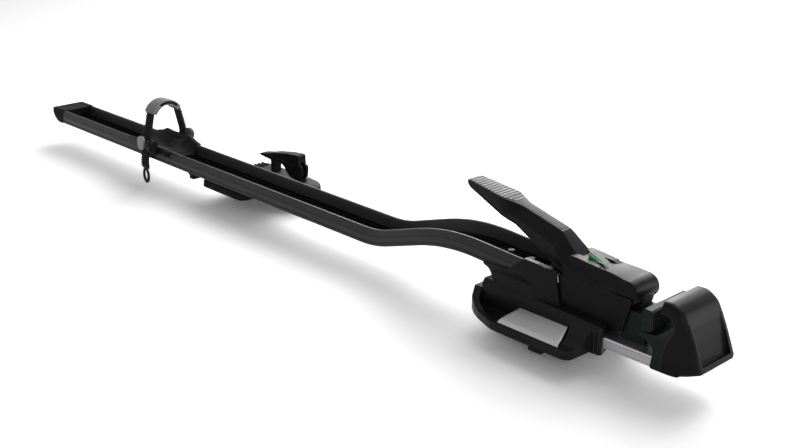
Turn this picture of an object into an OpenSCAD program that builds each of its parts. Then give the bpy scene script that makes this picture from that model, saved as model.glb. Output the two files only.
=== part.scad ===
/* [Tray] */
// Height of the tray's underside above the roof bars
tray_z = 24; // [22:0.5:27]
// Outer width of the tray at its foot
tray_w = 72; // [68:1:76]
// Height of the rims above the tray's underside
tray_h = 22.5; // [20:0.5:26]
// Clear width between the rims
tray_mouth = 52; // [50:1:55]
// Thickness of the tray's floor
tray_floor = 3; // [2.5:0.5:4]
// Where the extrusion ends at the tail
tail_x = -1226; // [-1300:2:-1180]
// Where the tray starts to climb
bend_x = -352; // [-380:2:-340]
// Radius of the lower bend
low_bend_r = 180; // [150:5:220]
// Steepest angle of the climb
climb_a = 17.5; // [15:0.5:19]
// Straight length between the two bends
climb_l = 64; // [50:1:80]
// Radius of the crest
crest_r = 300; // [260:5:320]
// Angle at which the tray runs down into the front foot
dip_a = 3; // [2:0.5:4]
// Width of the slot along the tray's underside
track_slot = 9; // [8:0.5:10]
// Width of the track above the slot
track_w = 16; // [14:0.5:17]

/* [End cap] */
// Length of the cap behind the extrusion, at its top
cap_l = 46; // [36:1:50]
// How far the cap's end leans forward towards its foot
cap_lean = 26; // [15:1:30]

/* [Front foot] */
// Width of the front foot over both wings
foot_w = 160; // [154:1:166]
// Rear end of the front foot
foot_x0 = -126; // [-135:1:-120]
// Front end of the wings
foot_x1 = 62; // [56:1:66]
// Height of the wing's outer lip
lip_z = 12; // [11:0.5:14]
// Height of the wing's walls where they meet the body
wing_z = 31; // [28:0.5:34]
// Thickness of the wing's walls
wing_t = 6; // [5:0.5:8]
// Thickness of the wing's floor
wing_floor = 5; // [4:0.5:6]
// Half width of the body between the wings
core_y = 40.5; // [40:0.5:42]
// Thickness of the rubber pads
pad_t = 4; // [3:0.5:5]
// How far the pads stand out below the feet
pad_out = 2; // [1:0.5:3]
// Spacing of the two T-bolts
bolt_gap = 112; // [104:1:118]
// Diameter of the T-bolts
bolt_d = 6; // [5:0.5:8]
// Side of the square T-head
t_head = 20; // [18:1:24]

/* [Rail] */
// Height of the rail's underside above the roof bars
rail_z = 12.5; // [12:0.5:14]
// Width of the rail's flange
rail_w = 72; // [68:1:72]
// Height of the flange
flange_h = 13; // [11:0.5:14]
// Width of the rib on top of the flange
rib_w = 24.8; // [22:0.2:26]
// Height of the rib
rib_h = 12; // [10:0.5:12]
// Rear end of the rail inside the front foot
rail_x0 = -60; // [-80:1:-50]

/* [Lever housing] */
// Rear end of the housing
base_x0 = 0; // [-1:0.5:4]
// Width of the housing
base_w = 48.4; // [48:0.2:50]
// Height of its side walls above the roof bars
base_top = 78; // [76:0.5:79]
// Thickness of its side walls
base_t = 2.5; // [2:0.25:2.75]

/* [Clamp lever] */
// Distance of the lever's pivot from the front T-bolts
pivot_x = 98; // [96:0.5:100]
// Height of the pivot
pivot_z = 84; // [83:0.5:86]
// Radius of the lever's nose about the pivot
nose_r = 14.5; // [13:0.25:14.75]
// Diameter of the pivot pin
pin_d = 8; // [6:0.5:8]
// Distance from the pivot to the crank pin
crank_r = 11; // [10:0.25:11.5]
// Diameter of the crank pin
crank_d = 6; // [5:0.5:6]
// How far the lever opens
lever_open = 80; // [60:1:80]

/* [Lock button] */
// Length of the button
button_l = 25; // [22:1:27]
// Width of the button
button_w = 9; // [8:0.5:10]

/* [Jaw and head] */
// Distance of the axle seat from the front T-bolts
seat_x = 160.5; // [159:0.5:163]
// Height of the axle seat
seat_z = 68.5; // [66:0.5:70]
// Radius of the axle seat
seat_r = 14; // [12:0.25:14.5]
// Thickness of the seat's liner
liner_t = 1.4; // [1:0.1:2]
// Width of the head
head_w = 74; // [70:1:78]
// Wall of the head's cover
cover_t = 3; // [2.5:0.25:3.5]
// Thickness of the jaw
jaw_t = 11.3; // [9:0.1:12]
// Height of the jaw's top above the roof bars
jaw_top = 81.5; // [80:0.5:83]

/* [Wheel holder] */
// Where the strap stands along the tray
strap_x = -915; // [-940:1:-890]
// Width of the strap
strap_w = 16; // [14:0.5:20]
// Thickness of the strap
strap_t = 3.5; // [3:0.25:4]
// Inner radius of the strap's arch
arch_r = 27; // [25:0.5:28]
// Height of the arch's centre above the roof bars
arch_z = 90.5; // [86:0.5:94]
// Length of the strap's free end below the tray
tail_drop = 45; // [30:1:50]
// Pitch of the strap's teeth
tooth_pitch = 4; // [3.5:0.25:5]
// Length of the cradle
cradle_l = 122; // [110:1:130]

/* [Rear foot] */
// Middle of the rear foot along the tray
rear_x = -704; // [-720:1:-690]
// Reach of the plate on the lever's side
rear_far_y = 121; // [118:1:126]
// Reach of the plate on the other side
rear_near_y = 23; // [22:1:26]
// Thickness of the plate
plate_t = 10; // [8:0.5:11]
// Distance of the rear T-bolt from the tray's middle
rear_bolt_y = 101; // [98:1:103]
// Distance of the rear T-bolt ahead of the middle of the rear foot
rear_bolt_ahead = 43; // [40:1:50]

/* [Fits] */
// Radial gap of a pin that turns
run_gap = 0.05; // [0.02:0.01:0.08]
// Gap between pieces that slide
slide_gap = 0.3; // [0.2:0.05:0.4]
// Gap between pieces that are fixed together
seat_gap = 0.05; // [0.02:0.01:0.1]

/* [Hidden] */
$fn = 48;

// Tones of the finishes
black_plastic = "#1c1c1c";
black_metal = "#2a2a2a";
dark_rubber = "#141414";
bright_alloy = "#b9bbbd";
grey_plastic = "#8a8a8a";
steel = "#9a9c9f";

// A point on a circle in a side view
function at(c, r, a) = [c[0] + r * cos(a), c[1] + r * sin(a)];
// Points along an arc
function arc(c, r, a0, a1, n) = [for (i = [0:n]) at(c, r, a0 + (a1 - a0) * i / n)];

// A side view outline carried across the object, from its middle
module across(w) {
    rotate([90, 0, 0]) linear_extrude(w, center = true) children();
}
// A side view outline carried from y0 to y1
module between(y0, y1) {
    translate([0, y1, 0]) rotate([90, 0, 0]) linear_extrude(y1 - y0) children();
}
// A cross section carried forward along the object
module along(x0, x1) {
    translate([x0, 0, 0]) rotate([90, 0, 90]) linear_extrude(x1 - x0) children();
}
// A rod across the object
module rod(p, d, w) {
    translate([p[0], 0, p[1]]) rotate([90, 0, 0]) cylinder(d = d, h = w, center = true);
}
// The same piece on both sides of the middle plane
module both_sides() {
    children();
    mirror([0, 1, 0]) children();
}
// A box given by its corners
module block(a, b) {
    translate(a) cube(b - a);
}

// Where the tray's bends and straights meet, along its underside
climb_p = [bend_x + low_bend_r * sin(climb_a), tray_z + low_bend_r * (1 - cos(climb_a))];
crest_p = climb_p + climb_l * [cos(climb_a), sin(climb_a)];
crest_c = crest_p + crest_r * [sin(climb_a), -cos(climb_a)];
dip_p = crest_c + crest_r * [sin(dip_a), cos(dip_a)];
dip_l = 84;
// A lap by which rounded and straight parts of one piece join
joint_lap = 0.2;
// Half widths of the tray at its foot and over its rims
tray_y = tray_w / 2;
rim_y = tray_mouth / 2;

// The tray's cross section: rims that lean outwards over a floor with a track below.
// Right half from the track's slot round to the rib, then the track's own corners.
tray_half = [
    [track_slot / 2, 0], [tray_y, 0], [tray_y, 3.4], [tray_y - 1.6, 4], [tray_y - 1.6, 4.7],
    [tray_y - 1, 5.2], [tray_y - 1, 9.5], [rim_y + 5, tray_h - 2.5],
    [rim_y + 4, tray_h - 0.6], [rim_y + 3, tray_h], [rim_y + 1, tray_h],
    [rim_y, tray_h - 1], [rim_y - 4, 4], [rim_y - 5, tray_floor],
    [10.5, tray_floor], [10.5, 9]
];
track_half = [[track_w / 2, 6.5], [track_w / 2, 2.5], [track_slot / 2, 2.5]];
tray_profile = concat(
    tray_half, mirrored(tray_half), mirrored(track_half), track_half
);
// The section's end face as convex cells: right half, then the rib's top and the left half
right_cells = [
    [1, 2, 3, 12, 13], [0, 1, 13], [0, 13, 14], [0, 14, 36], [0, 36, 37],
    [36, 14, 15, 35], [3, 4, 12], [4, 5, 6, 7, 8, 9, 10, 11, 12]
];
tray_cells = concat(
    right_cells, [[34, 35, 15, 16]],
    [for (c = right_cells) [for (i = [len(c) - 1 : -1 : 0]) c[i] < 32 ? 31 - c[i] : 69 - c[i]]]
);
// The closed chamber along one side of the section
chamber_profile = [
    [rim_y, tray_floor - 0.5], [tray_y - 3, tray_floor - 0.5], [tray_y - 3, 9],
    [rim_y + 3.6, tray_h - 4], [rim_y + 2.2, tray_h - 4]
];
// Half a section turned over the middle plane
function mirrored(half) = [for (i = [len(half) - 1 : -1 : 0]) [-half[i][0], half[i][1]]];

// Stations along the tray's underside: place, height and slope
low_steps = 7;
crest_steps = 9;
function crest_station(a) = [
    crest_c[0] - crest_r * sin(a), crest_c[1] + crest_r * cos(a), a
];
function tray_line(over) = concat(
    [[tail_x - over, tray_z, 0]],
    [for (i = [0 : low_steps]) let (a = climb_a * i / low_steps)
        [bend_x + low_bend_r * sin(a), tray_z + low_bend_r * (1 - cos(a)), a]],
    [for (i = [0 : crest_steps]) crest_station(climb_a - (climb_a + dip_a) * i / crest_steps)],
    [[dip_p[0] + dip_l + over, dip_z(dip_p[0] + dip_l + over), 0]]
);
// A closed section carried along the stations, square to the slope. Its end faces are
// given as convex cells of the section's points.
module swept(profile, line, cells) {
    n = len(profile);
    m = len(line);
    polyhedron(
        [for (s = line, p = profile)
            [s[0] - p[1] * sin(s[2]), p[0], s[1] + p[1] * cos(s[2])]],
        concat(
            [for (i = [0 : m - 2], k = [0 : n - 1])
                [i * n + k, (i + 1) * n + k, (i + 1) * n + (k + 1) % n]],
            [for (i = [0 : m - 2], k = [0 : n - 1])
                [i * n + k, (i + 1) * n + (k + 1) % n, i * n + (k + 1) % n]],
            cells,
            [for (c = cells) [for (i = [len(c) - 1 : -1 : 0]) (m - 1) * n + c[i]]]
        )
    );
}
// Height of the tray's underside where it dips into the front foot
function dip_z(x) = dip_p[1] - (x - dip_p[0]) * tan(dip_a);

module tray() {
    color(black_metal) difference() {
        swept(tray_profile, tray_line(0), tray_cells);
        both_sides() swept(chamber_profile, tray_line(1), [[0, 1, 2, 3, 4]]);
        // Holes for the cap's pin, through both walls
        rod([tail_x + 8, tray_z + 7], cap_pin_d + 2 * seat_gap, 2 * tray_w);
        // Holes for the screws into the front foot
        for (x = tray_screw_x) translate([x, 0, dip_z(x) - 1])
            cylinder(d = screw_d + 2 * seat_gap, h = 14);
        // Holes for the stop's rivets
        for (y = stop_pin_y) translate([stop_x0 + 8, y, tray_z - 1]) cylinder(d = 3, h = 12);
    }
}
cap_pin_d = 4;
screw_d = 5;
tray_screw_x = [-100, -66];
// The stop stands behind the rear foot
stop_x0 = rear_x - 105;
stop_pin_y = [-16, 16];

// Moulded cap that closes the tail
cap_end = tail_x - cap_l;
cap_top = tray_z + tray_h + 1;
module tray_end_cap() {
    color(black_plastic) difference() {
        union() {
            intersection() {
                across(tray_w + 4) polygon([
                    [tail_x, tray_z - 0.8], [cap_end + cap_lean + 6, tray_z - 0.8],
                    [cap_end + cap_lean, tray_z + 1.5], [cap_end, tray_z + 17],
                    [cap_end - 0.5, tray_z + 19.5], [cap_end + 2, cap_top - 1.6],
                    [cap_end + 6, cap_top - 0.4], [tail_x, cap_top]
                ]);
                translate([0, 0, tray_z - 2]) linear_extrude(tray_h + 5) polygon([
                    [tail_x, -tray_y - 1], [tail_x, tray_y + 1], [cap_end + 16, tray_y],
                    [cap_end + 6, tray_y - 3], [cap_end + 1, tray_y - 7],
                    [cap_end - 1, tray_y - 14], [cap_end - 1, 14 - tray_y],
                    [cap_end + 1, 7 - tray_y], [cap_end + 6, 3 - tray_y],
                    [cap_end + 16, -tray_y]
                ]);
                translate([0, 0, tray_z]) along(cap_end - 2, tail_x) polygon([
                    [-tray_y - 0.8, -1], [tray_y + 0.8, -1], [tray_y + 0.8, 9.8],
                    [rim_y + 5.6, tray_h - 1.8], [rim_y + 4, tray_h + 0.6],
                    [rim_y + 2, tray_h + 1], [-rim_y - 2, tray_h + 1],
                    [-rim_y - 4, tray_h + 0.6], [-rim_y - 5.6, tray_h - 1.8],
                    [-tray_y - 0.8, 9.8]
                ]);
            }
            // Two tongues that fill the ends of the chambers
            both_sides() translate([0, 0, tray_z]) along(tail_x - 2, tail_x + 22)
                polygon([
                    [rim_y + 1.2, tray_floor], [tray_y - 3.4, tray_floor],
                    [tray_y - 3.4, 8.6], [rim_y + 3.5, tray_h - 5.5], [rim_y + 2.6, tray_h - 5.5]
                ]);
        }
        // Shallow dish in the top, open towards the channel
        block([cap_end + 9, 4 - rim_y, cap_top - 1.2], [tail_x + 1, rim_y - 4, cap_top + 1]);
        rod([tail_x + 8, tray_z + 7], cap_pin_d + 2 * seat_gap, 2 * tray_w);
    }
}
// Two short pins that hold the cap's tongues in the walls
module cap_pin() {
    color(steel) both_sides() between_rod([tail_x + 8, tray_z + 7], cap_pin_d,
        rim_y + 1, tray_y - 1.4);
}
// A rod across the object from y0 to y1
module between_rod(p, d, y0, y1) {
    translate([p[0], y1, p[1]]) rotate([90, 0, 0]) cylinder(d = d, h = y1 - y0);
}

// Block riveted under the tray as a stop for the rear foot
module rear_stop() {
    color(black_plastic) {
        difference() {
            union() {
                block([stop_x0, -26, tray_z - 8], [stop_x0 + 17.5, 26, tray_z]);
                block([stop_x0 + 2, -25, tray_z - 15], [stop_x0 + 13, 25, tray_z - 7.9]);
            }
            block([stop_x0 + 2, -27, tray_z - 5.4], [stop_x0 + 14, -25, tray_z - 3.6]);
        }
        for (y = stop_pin_y) translate([stop_x0 + 8, y, tray_z - 6])
            cylinder(d = 2.9, h = tray_floor + 6.8);
    }
}

// Front foot: two dished wings, a core round the rail and a fairing up to the tray
wing_y = foot_w / 2;
// Outer edge of the dish, and the ends of the cover in it
dish_y = wing_y - wing_t;
cover_x0 = -59;
cover_x1 = 41;
foot_z0 = pad_out;
core_tilt = 2.2;
core_top = 39.5;
fairing_y = 38.5;
// Outline of one wing seen from above, near side
module wing_plan() {
    polygon([
        [foot_x0 + 1, 0], [foot_x0 + 1, -41], [foot_x0 + 5, -50], [foot_x0 + 18, -60],
        [foot_x0 + 31, -67], [foot_x0 + 54, 4 - wing_y], [-62, 0.8 - wing_y],
        [-50, -wing_y], [foot_x1 - 11, -wing_y], [foot_x1 - 5, 2 - wing_y],
        [foot_x1 - 1, 6 - wing_y], [foot_x1, 12 - wing_y], [foot_x1 + 1, -38],
        [foot_x1 + 8, -34], [foot_x1 + 8, 0]
    ]);
}
// Outline of the dish in one wing
module dish_plan() {
    polygon([
        [foot_x0 + 12, -38], [foot_x0 + 17, -50], [foot_x0 + 28, -57.5],
        [foot_x0 + 44, -65], [foot_x0 + 64, -dish_y], [cover_x1 + 1, -dish_y],
        [cover_x1 - 6, -43], [cover_x1 - 8, -38]
    ]);
}
module wing() {
    difference() {
        intersection() {
            translate([0, 0, foot_z0]) linear_extrude(wing_z) wing_plan();
            along(foot_x0 - 1, foot_x1 + 20) polygon([
                [-wing_y - 1, 0], [0, 0], [0, wing_z], [0.5 - core_y, wing_z],
                [-50, lip_z + 7.5], [-64, lip_z + 1], [-72, lip_z], [1.2 - wing_y, lip_z],
                [-wing_y, lip_z - 1.4], [-wing_y - 1, 4]
            ]);
        }
        translate([0, 0, foot_z0 + wing_floor]) linear_extrude(wing_z) dish_plan();
    }
}
// The core seen from above, with its front ends beside the rail
module core_plan() {
    polygon([
        [foot_x0 + 14, -42], [72, -42], [78.5, -37], [70.5, -13], [70.5, 13],
        [78.5, 37], [72, 42], [foot_x0 + 14, 42]
    ]);
}
// The tray's outer form with its channel filled, for the seat in the fairing
module tray_seat_cut() {
    translate([dip_p[0], 0, dip_p[1] - seat_gap]) rotate([0, dip_a, 0])
        along(-40, dip_l + 0.5) polygon([
            [-tray_y - 0.2, 0], [tray_y + 0.2, 0], [tray_y + 0.2, 9.6],
            [rim_y + 5.4, tray_h - 2.4], [rim_y + 4, tray_h + 0.4],
            [-rim_y - 4, tray_h + 0.4], [-rim_y - 5.4, tray_h - 2.4],
            [-tray_y - 0.2, 9.6]
        ]);
    translate([crest_c[0], 0, crest_c[1] - seat_gap]) rotate([90, 0, 0])
        rotate([0, 0, 90 - dip_a]) rotate_extrude(angle = 12, $fn = 240)
            translate([crest_r, 0]) square([tray_h + 8, 2 * tray_y + 0.4], center = false);
}
module fairing() {
    difference() {
        intersection() {
            across(2 * fairing_y + 4) polygon([
                [-110, core_top], [-98, 42.5], [-101, 49], [-104.5, 55], [-108, 59.5],
                [-114, 62.2], [-114, 65.5], [-100, 66], [-71, 67.5], [-52, 86], [-30, 85.6],
                [-1.5, 83.2], [-1.5, 76], [base_x0 - 3.3, 76], [base_x0 + 3.6, core_top],
                [base_x0 + 3.6, core_top - 6], [-110, core_top - 6]
            ]);
            along(-120, 10) polygon([
                [-36.5, 30], [36.5, 30], [35, 44], [35, 56], [fairing_y, 66],
                [fairing_y, 71], [32.8, 84], [31, 86.5], [-31, 86.5], [-32.8, 84],
                [-fairing_y, 71], [-fairing_y, 66], [-35, 56], [-35, 44]
            ]);
            linear_extrude(100) polygon([
                [-120, -fairing_y], [-48, -fairing_y], [-22, -33], [5, -27.6],
                [5, 27.6], [-22, 33], [-48, fairing_y], [-120, fairing_y]
            ]);
        }
        // The tray's seat, and above it the channel's open end
        tray_seat_cut();
        block([-49, -25.2, 67], [10, 25.2, 90]);
        block([-120, 1 - rim_y, 70], [-40, rim_y - 1, 95]);
        // Room behind the lever housing
        block([-2.5, -26, 72], [10, 26, 90]);
    }
}
module front_foot() {
    color(black_plastic) difference() {
        union() {
            both_sides() wing();
            intersection() {
                rotate([0, core_tilt, 0]) along(foot_x0 + 4, 84) polygon([
                    [-core_y, -12], [core_y, -12], [core_y, core_top - 6],
                    [36.5, core_top], [-36.5, core_top], [-core_y, core_top - 6]
                ]);
                translate([0, 0, foot_z0]) linear_extrude(60) core_plan();
            }
            fairing();
        }
        // Passage for the rail, open to the front
        translate([0, 0, rail_z]) along(rail_x0 - seat_gap, 90) rail_outline(seat_gap);
        // Well for the lever housing
        block([base_x0 + 3.7, -base_y - slide_gap, 25], [90, base_y + slide_gap, 60]);
        // Slots in the front ends of the core
        both_sides() translate([0, 0, -1]) linear_extrude(60) polygon([
            [foot_x1 + 12.5, -39.6], [foot_x1 + 12.5, -43], [foot_x1 + 6, -39.4]
        ]);
        // Bolt holes, screw holes and pockets for the pads
        for (side = [-1, 1]) translate([0, side * bolt_gap / 2, 0])
            cylinder(d = bolt_d + 2 * seat_gap, h = 30);
        for (x = tray_screw_x) translate([x, 0, 30]) cylinder(d = screw_d - 0.6, h = 40);
        for (x = rail_screw_x) translate([x, 0, 0]) {
            cylinder(d = screw_d + 2 * seat_gap, h = 20);
            cylinder(d = 10, h = 7);
        }
        pad_shapes(seat_gap);
    }
}
base_y = base_w / 2;
rail_screw_x = [-46, 54];
pad_x = [-46, 12];
// Pads across the foot, one on each side of the T-bolts
module pad_shapes(gap) {
    for (x = pad_x) block(
        [x - gap, -dish_y - gap, gap > 0 ? -1 : 0],
        [x + 34 + gap, dish_y + gap, pad_t]
    );
}
module front_foot_pads() {
    color(dark_rubber) difference() {
        pad_shapes(0);
        for (x = pad_x, i = [1:3]) block(
            [x + 8.5 * i - 1, -wing_y, -1], [x + 8.5 * i + 1, wing_y, 0.8]
        );
        for (x = rail_screw_x) translate([x, 0, -1]) cylinder(d = 11, h = 8);
    }
}

// Bright cover in each dish, rolled down along its outer edge
cover_y0 = -core_y - 0.8;
module foot_cover() {
    color(bright_alloy) intersection() {
        along(cover_x0 - 3, cover_x1 + 3) polygon([
            [cover_y0, 24.4], [cover_y0, 21.9], [8 - dish_y, 13.4], [3 - dish_y, 11.2],
            [1.8 - dish_y, 9.6], [1.8 - dish_y, foot_z0 + wing_floor],
            [seat_gap - dish_y, foot_z0 + wing_floor], [seat_gap - dish_y, 9.8],
            [0.8 - dish_y, 11.6], [2.8 - dish_y, 13], [7.6 - dish_y, 15]
        ]);
        linear_extrude(40) polygon([
            [cover_x0 + 4, -40], [cover_x0 + 8, -40.4], [cover_x1 - 10, -40.4],
            [cover_x1 - 8, -43], [cover_x1 - 0.5, -dish_y], [cover_x0, -dish_y],
            [cover_x0 + 2, -42]
        ]);
    }
}
module near_foot_cover() { foot_cover(); }
module far_foot_cover() { mirror([0, 1, 0]) foot_cover(); }

// Two T-bolts that reach down into the roof bar's slot
module front_t_bolts() {
    color(steel) for (side = [-1, 1]) translate([0, side * bolt_gap / 2, 0]) t_bolt(13.5);
}
module t_bolt(top) {
    translate([0, 0, -8]) cylinder(d = bolt_d, h = top + 8);
    translate([0, 0, -10]) cube([t_head, t_head, 4.2], center = true);
}
module front_bolt_nuts() {
    color(steel) for (side = [-1, 1]) translate([0, side * bolt_gap / 2, foot_z0 + wing_floor])
        difference() {
            cylinder(d = 11.5, h = 5, $fn = 6);
            translate([0, 0, -1]) cylinder(d = bolt_d + 2 * seat_gap, h = 8);
        }
}

// Bright extruded rail that joins the foot, the housing and the head
rail_x1 = 158;
rail_y = rail_w / 2;
rib_y = rib_w / 2;
rail_top = rail_z + flange_h;
rib_top = rail_top + rib_h;
module rail_outline(gap) {
    polygon([
        [-rail_y - gap, -gap], [rail_y + gap, -gap], [rail_y + gap, flange_h - 1.5],
        [rail_y - 1.2 + gap, flange_h + gap], [rib_y + gap, flange_h + gap],
        [rib_y + gap, flange_h + rib_h - 1], [rib_y - 1 + gap, flange_h + rib_h + gap],
        [1 - rib_y - gap, flange_h + rib_h + gap], [-rib_y - gap, flange_h + rib_h - 1],
        [-rib_y - gap, flange_h + gap], [1.2 - rail_y - gap, flange_h + gap],
        [-rail_y - gap, flange_h - 1.5]
    ]);
}
module rail() {
    color(bright_alloy) difference() {
        translate([0, 0, rail_z]) along(rail_x0, rail_x1) difference() {
            rail_outline(0);
            // Fine grooves along both sides
            for (side = [-1, 1], h = [1.8, flange_h - 2.9])
                translate([side * rail_y, h]) square([1.2, 0.8], center = true);
            // Chambers
            for (side = [-1, 1]) translate([side * (rib_y + rail_y) / 2, flange_h / 2])
                square([rail_y - rib_y - 5, flange_h - 5], center = true);
            translate([0, flange_h / 2 + 5]) square([rib_w - 6, flange_h + 4], center = true);
        }
        for (x = rail_screw_x) translate([x, 0, rail_z - 1])
            cylinder(d = screw_d - 0.6, h = 8);
        for (x = base_screw_x) translate([x, 0, rib_top - 8]) cylinder(d = screw_d - 0.6, h = 9);
        for (y = head_screw_y) translate([head_screw_x, y, rail_z - 1])
            cylinder(d = screw_d - 0.6, h = 8);
    }
}
base_screw_x = [22, 60];
head_screw_x = 153.5;
head_screw_y = [-12, 12];
// A pan head screw that points up or down
module screw(p, l, up = true) {
    translate(p) rotate([up ? 0 : 180, 0, 0]) {
        translate([0, 0, -1]) cylinder(d = screw_d - 0.7, h = l + 1);
        translate([0, 0, -3]) cylinder(d = 9, h = 3);
    }
}
module rail_screws() {
    color(steel) for (x = rail_screw_x) screw([x, 0, 7], rail_z - 7 + 5);
}
module tray_screws() {
    color(steel) for (x = tray_screw_x) screw([x, 0, dip_z(x) + 9.4], 24, false);
}

// Lever housing: an open channel that stands astride the rail's rib
floor_t = 3.3;
floor_x1 = 76;
shelf_z = 64.5;
shelf_top = 69.2;
base_in = base_y - base_t;
ear_y0 = 14.5;
ear_y1 = 18.2;
pivot = [pivot_x, pivot_z];
module base_side() {
    polygon([
        [base_x0 + 6.5, 27], [74, 28.4], [95.3, 34.5], [106, base_top - 2],
        [105, base_top], [base_x0 - 2, base_top], [base_x0 - 2.6, base_top - 1]
    ]);
}
module base_housing() {
    color(black_plastic) difference() {
        union() {
            difference() {
                across(base_w) base_side();
                // The open inside, and the front that the jaw moves in
                across(2 * base_in) polygon([
                    [base_x0 + 2, 100], [base_x0 + 2, 70], [base_x0 + 8, 44],
                    [base_x0 + 8, 41.5], [200, 41.5], [200, 100]
                ]);
                block([floor_x1, -base_in, 20], [200, base_in, 60]);
                // Astride the rib
                along(-10, 200) translate([0, rail_z]) rail_outline(seat_gap);
            }
            // Inner ears for the lever's pin, each on its own shelf
            both_sides() {
                block([80, ear_y0, shelf_z], [93, base_in + 0.5, shelf_top]);
                between(ear_y0, ear_y1) {
                    translate(pivot) circle(r = 8);
                    polygon([
                        [90.5, 86], [80, 69], [80, shelf_z], [93, shelf_z],
                        [93, 69], [99.5, 76.3]
                    ]);
                }
            }
        }
        rod(pivot, pin_d + 2 * seat_gap, 80);
        rod(cross_pin_p, 5 + 2 * seat_gap, 80);
        for (x = base_screw_x) translate([x, 0, 30])
            cylinder(d = screw_d + 2 * seat_gap, h = 20);
    }
}
cross_pin_p = [base_x0 + 14, 57];
module base_screws() {
    color(steel) for (x = base_screw_x) screw([x, 0, 41.5], 10, false);
}
// Pin across the housing's rear end that stiffens its walls
module cross_pin() {
    color(steel) rod(cross_pin_p, 5, base_w - 3);
}
module lever_pin() {
    color(steel) rod(pivot, pin_d, 2 * cheek_y - 1.6);
}

// Clamp lever
cheek_y = 21.5;
crank_start = -90 + lever_open / 2;
crank_p = at(pivot, crank_r, crank_start);
crank_ear_y0 = 9;
crank_ear_y1 = 14;
lever_z0 = base_top + slide_gap;
// A thin section of the lever's arm: width over the top and at its lower edge
module arm_section(x, z0, z1, w0, w1) {
    translate([x - 0.5, -w0 / 2, z0]) cube([1, w0, 1.5]);
    translate([x - 0.5, -w1 / 2, z1 - 1.5]) cube([1, w1, 1.5]);
}
// The arm's side view, from its tip to the housing
module arm(wall = 0) {
    // x, lower edge, upper edge, width below, width above
    s = [
        [-170, 149.5, 155.5, 15, 20], [-166, 147, 157.5, 19, 26],
        [-103, 124.5, 149.3, 31, 35], [-85, 121.9, 145.2, 32, 16],
        [-12, 88, 127, 40, 16], [18, 84, 102.5, 42, 22]
    ];
    for (i = [0:len(s) - 2]) hull() for (k = [i, i + 1]) arm_section(
        s[k][0], s[k][1] + (wall > 0 ? -3 : 0), s[k][2] - wall,
        max(s[k][3] - 2 * wall, 2), max(s[k][4] - 2 * wall, 2)
    );
}
// The solid end of the lever over the housing
module lever_block() {
    intersection() {
        across(60) {
            polygon([
                [-7, lever_z0], [-28, 98], [-14, 104], [12, 102.5], [18, 102.5],
                [66, 101], [pivot_x + 0.8, pivot_z + nose_r - 0.1], [pivot_x, lever_z0]
            ]);
            translate(pivot) circle(r = nose_r);
        }
        along(-40, 120) polygon([
            [-23.4, 60], [23.4, 60], [23.4, 83.5], [21.8, 85.5], [19, 98], [18, 102],
            [-18, 102], [-19, 98], [-21.8, 85.5], [-23.4, 83.5]
        ]);
        linear_extrude(200) polygon([
            [-40, -19], [-6, -22.6], [10, -23.4], [76, -23.4], [82, -cheek_y], [130, -cheek_y],
            [130, cheek_y], [82, cheek_y], [76, 23.4], [10, 23.4], [-6, 22.6], [-40, 19]
        ]);
    }
    // Raised shoulders on both sides of the button
    both_sides() between(9, 20) polygon([
        [10, 90], [12, 106], [21, 105.5], [54, 102.5], [56, 96]
    ]);
}
module clamp_lever() {
    color(black_plastic) difference() {
        union() {
            difference() {
                union() {
                    arm();
                    lever_block();
                }
                lever_hollow();
            }
            // Ears that carry the crank pin
            both_sides() between(crank_ear_y0, crank_ear_y1) {
                translate(pivot) circle(r = 14);
                polygon([
                    [84.5, 84], [86, 95], [98, 97.6], [crank_p[0] + 4.6, crank_p[1] - 1.4],
                    [crank_p[0] + 1, crank_p[1] - 4.7], [crank_p[0] - 3, crank_p[1] - 4.4]
                ]);
            }
            button_well(button_well_wall);
        }
        button_well(0);
        rod(pivot, pin_d + 2 * run_gap, 80);
        rod(crank_p, crank_d + 2 * seat_gap, 2 * crank_ear_y1 + 1);
        grip_plate(seat_gap, false);
    }
}
// The hollow under the lever's skin
module lever_hollow() {
    // Under the arm
    across(9) polygon([
        [-150, 139], [-150, 149.6], [-103, 143.6], [-82, 139], [-14, 122], [12, 98],
        [12, 70], [-7, 70], [-30, 94], [-46, 102], [-80, 116], [-112, 121]
    ]);
    across(2 * (cheek_y - 1.4)) polygon([
        [-3, 70], [-3, 80], [8, 92], [80, 92], [80, 70]
    ]);
    // Round the housing's ears and the jaw's drawbar
    across(2 * (ear_y1 + 0.2)) polygon(concat(
        [[80, 70], [80, 92]], arc(pivot, 9.2, 120, 0, 12),
        [pivot + [13.6, -4.8], pivot + [20, -4.8], pivot + [20, -24], [80, 60]]
    ));
    // Room for the post at the crank pin, which the nose closes from above
    across(2 * crank_ear_y0 - 0.2) polygon(concat(
        [[79, 60], [79, 92.5], [90, 92.5]], arc(pivot, 9.2, 120, 0, 12),
        [pivot + [20, -4.5], pivot + [20, -24]]
    ));
}
button_x = 28;
button_travel = 4;
button_well_wall = 2;
button_y0 = -7;
// The well that the button drops into, or the body round it
module button_well(wall) {
    block(
        [button_x - 5 - wall, button_y0 - slide_gap - wall, wall > 0 ? 88.5 : 90.5],
        [button_x + button_l + slide_gap + wall, button_w / 2 + slide_gap + wall,
         wall > 0 ? 100 : 130]
    );
}
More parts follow.
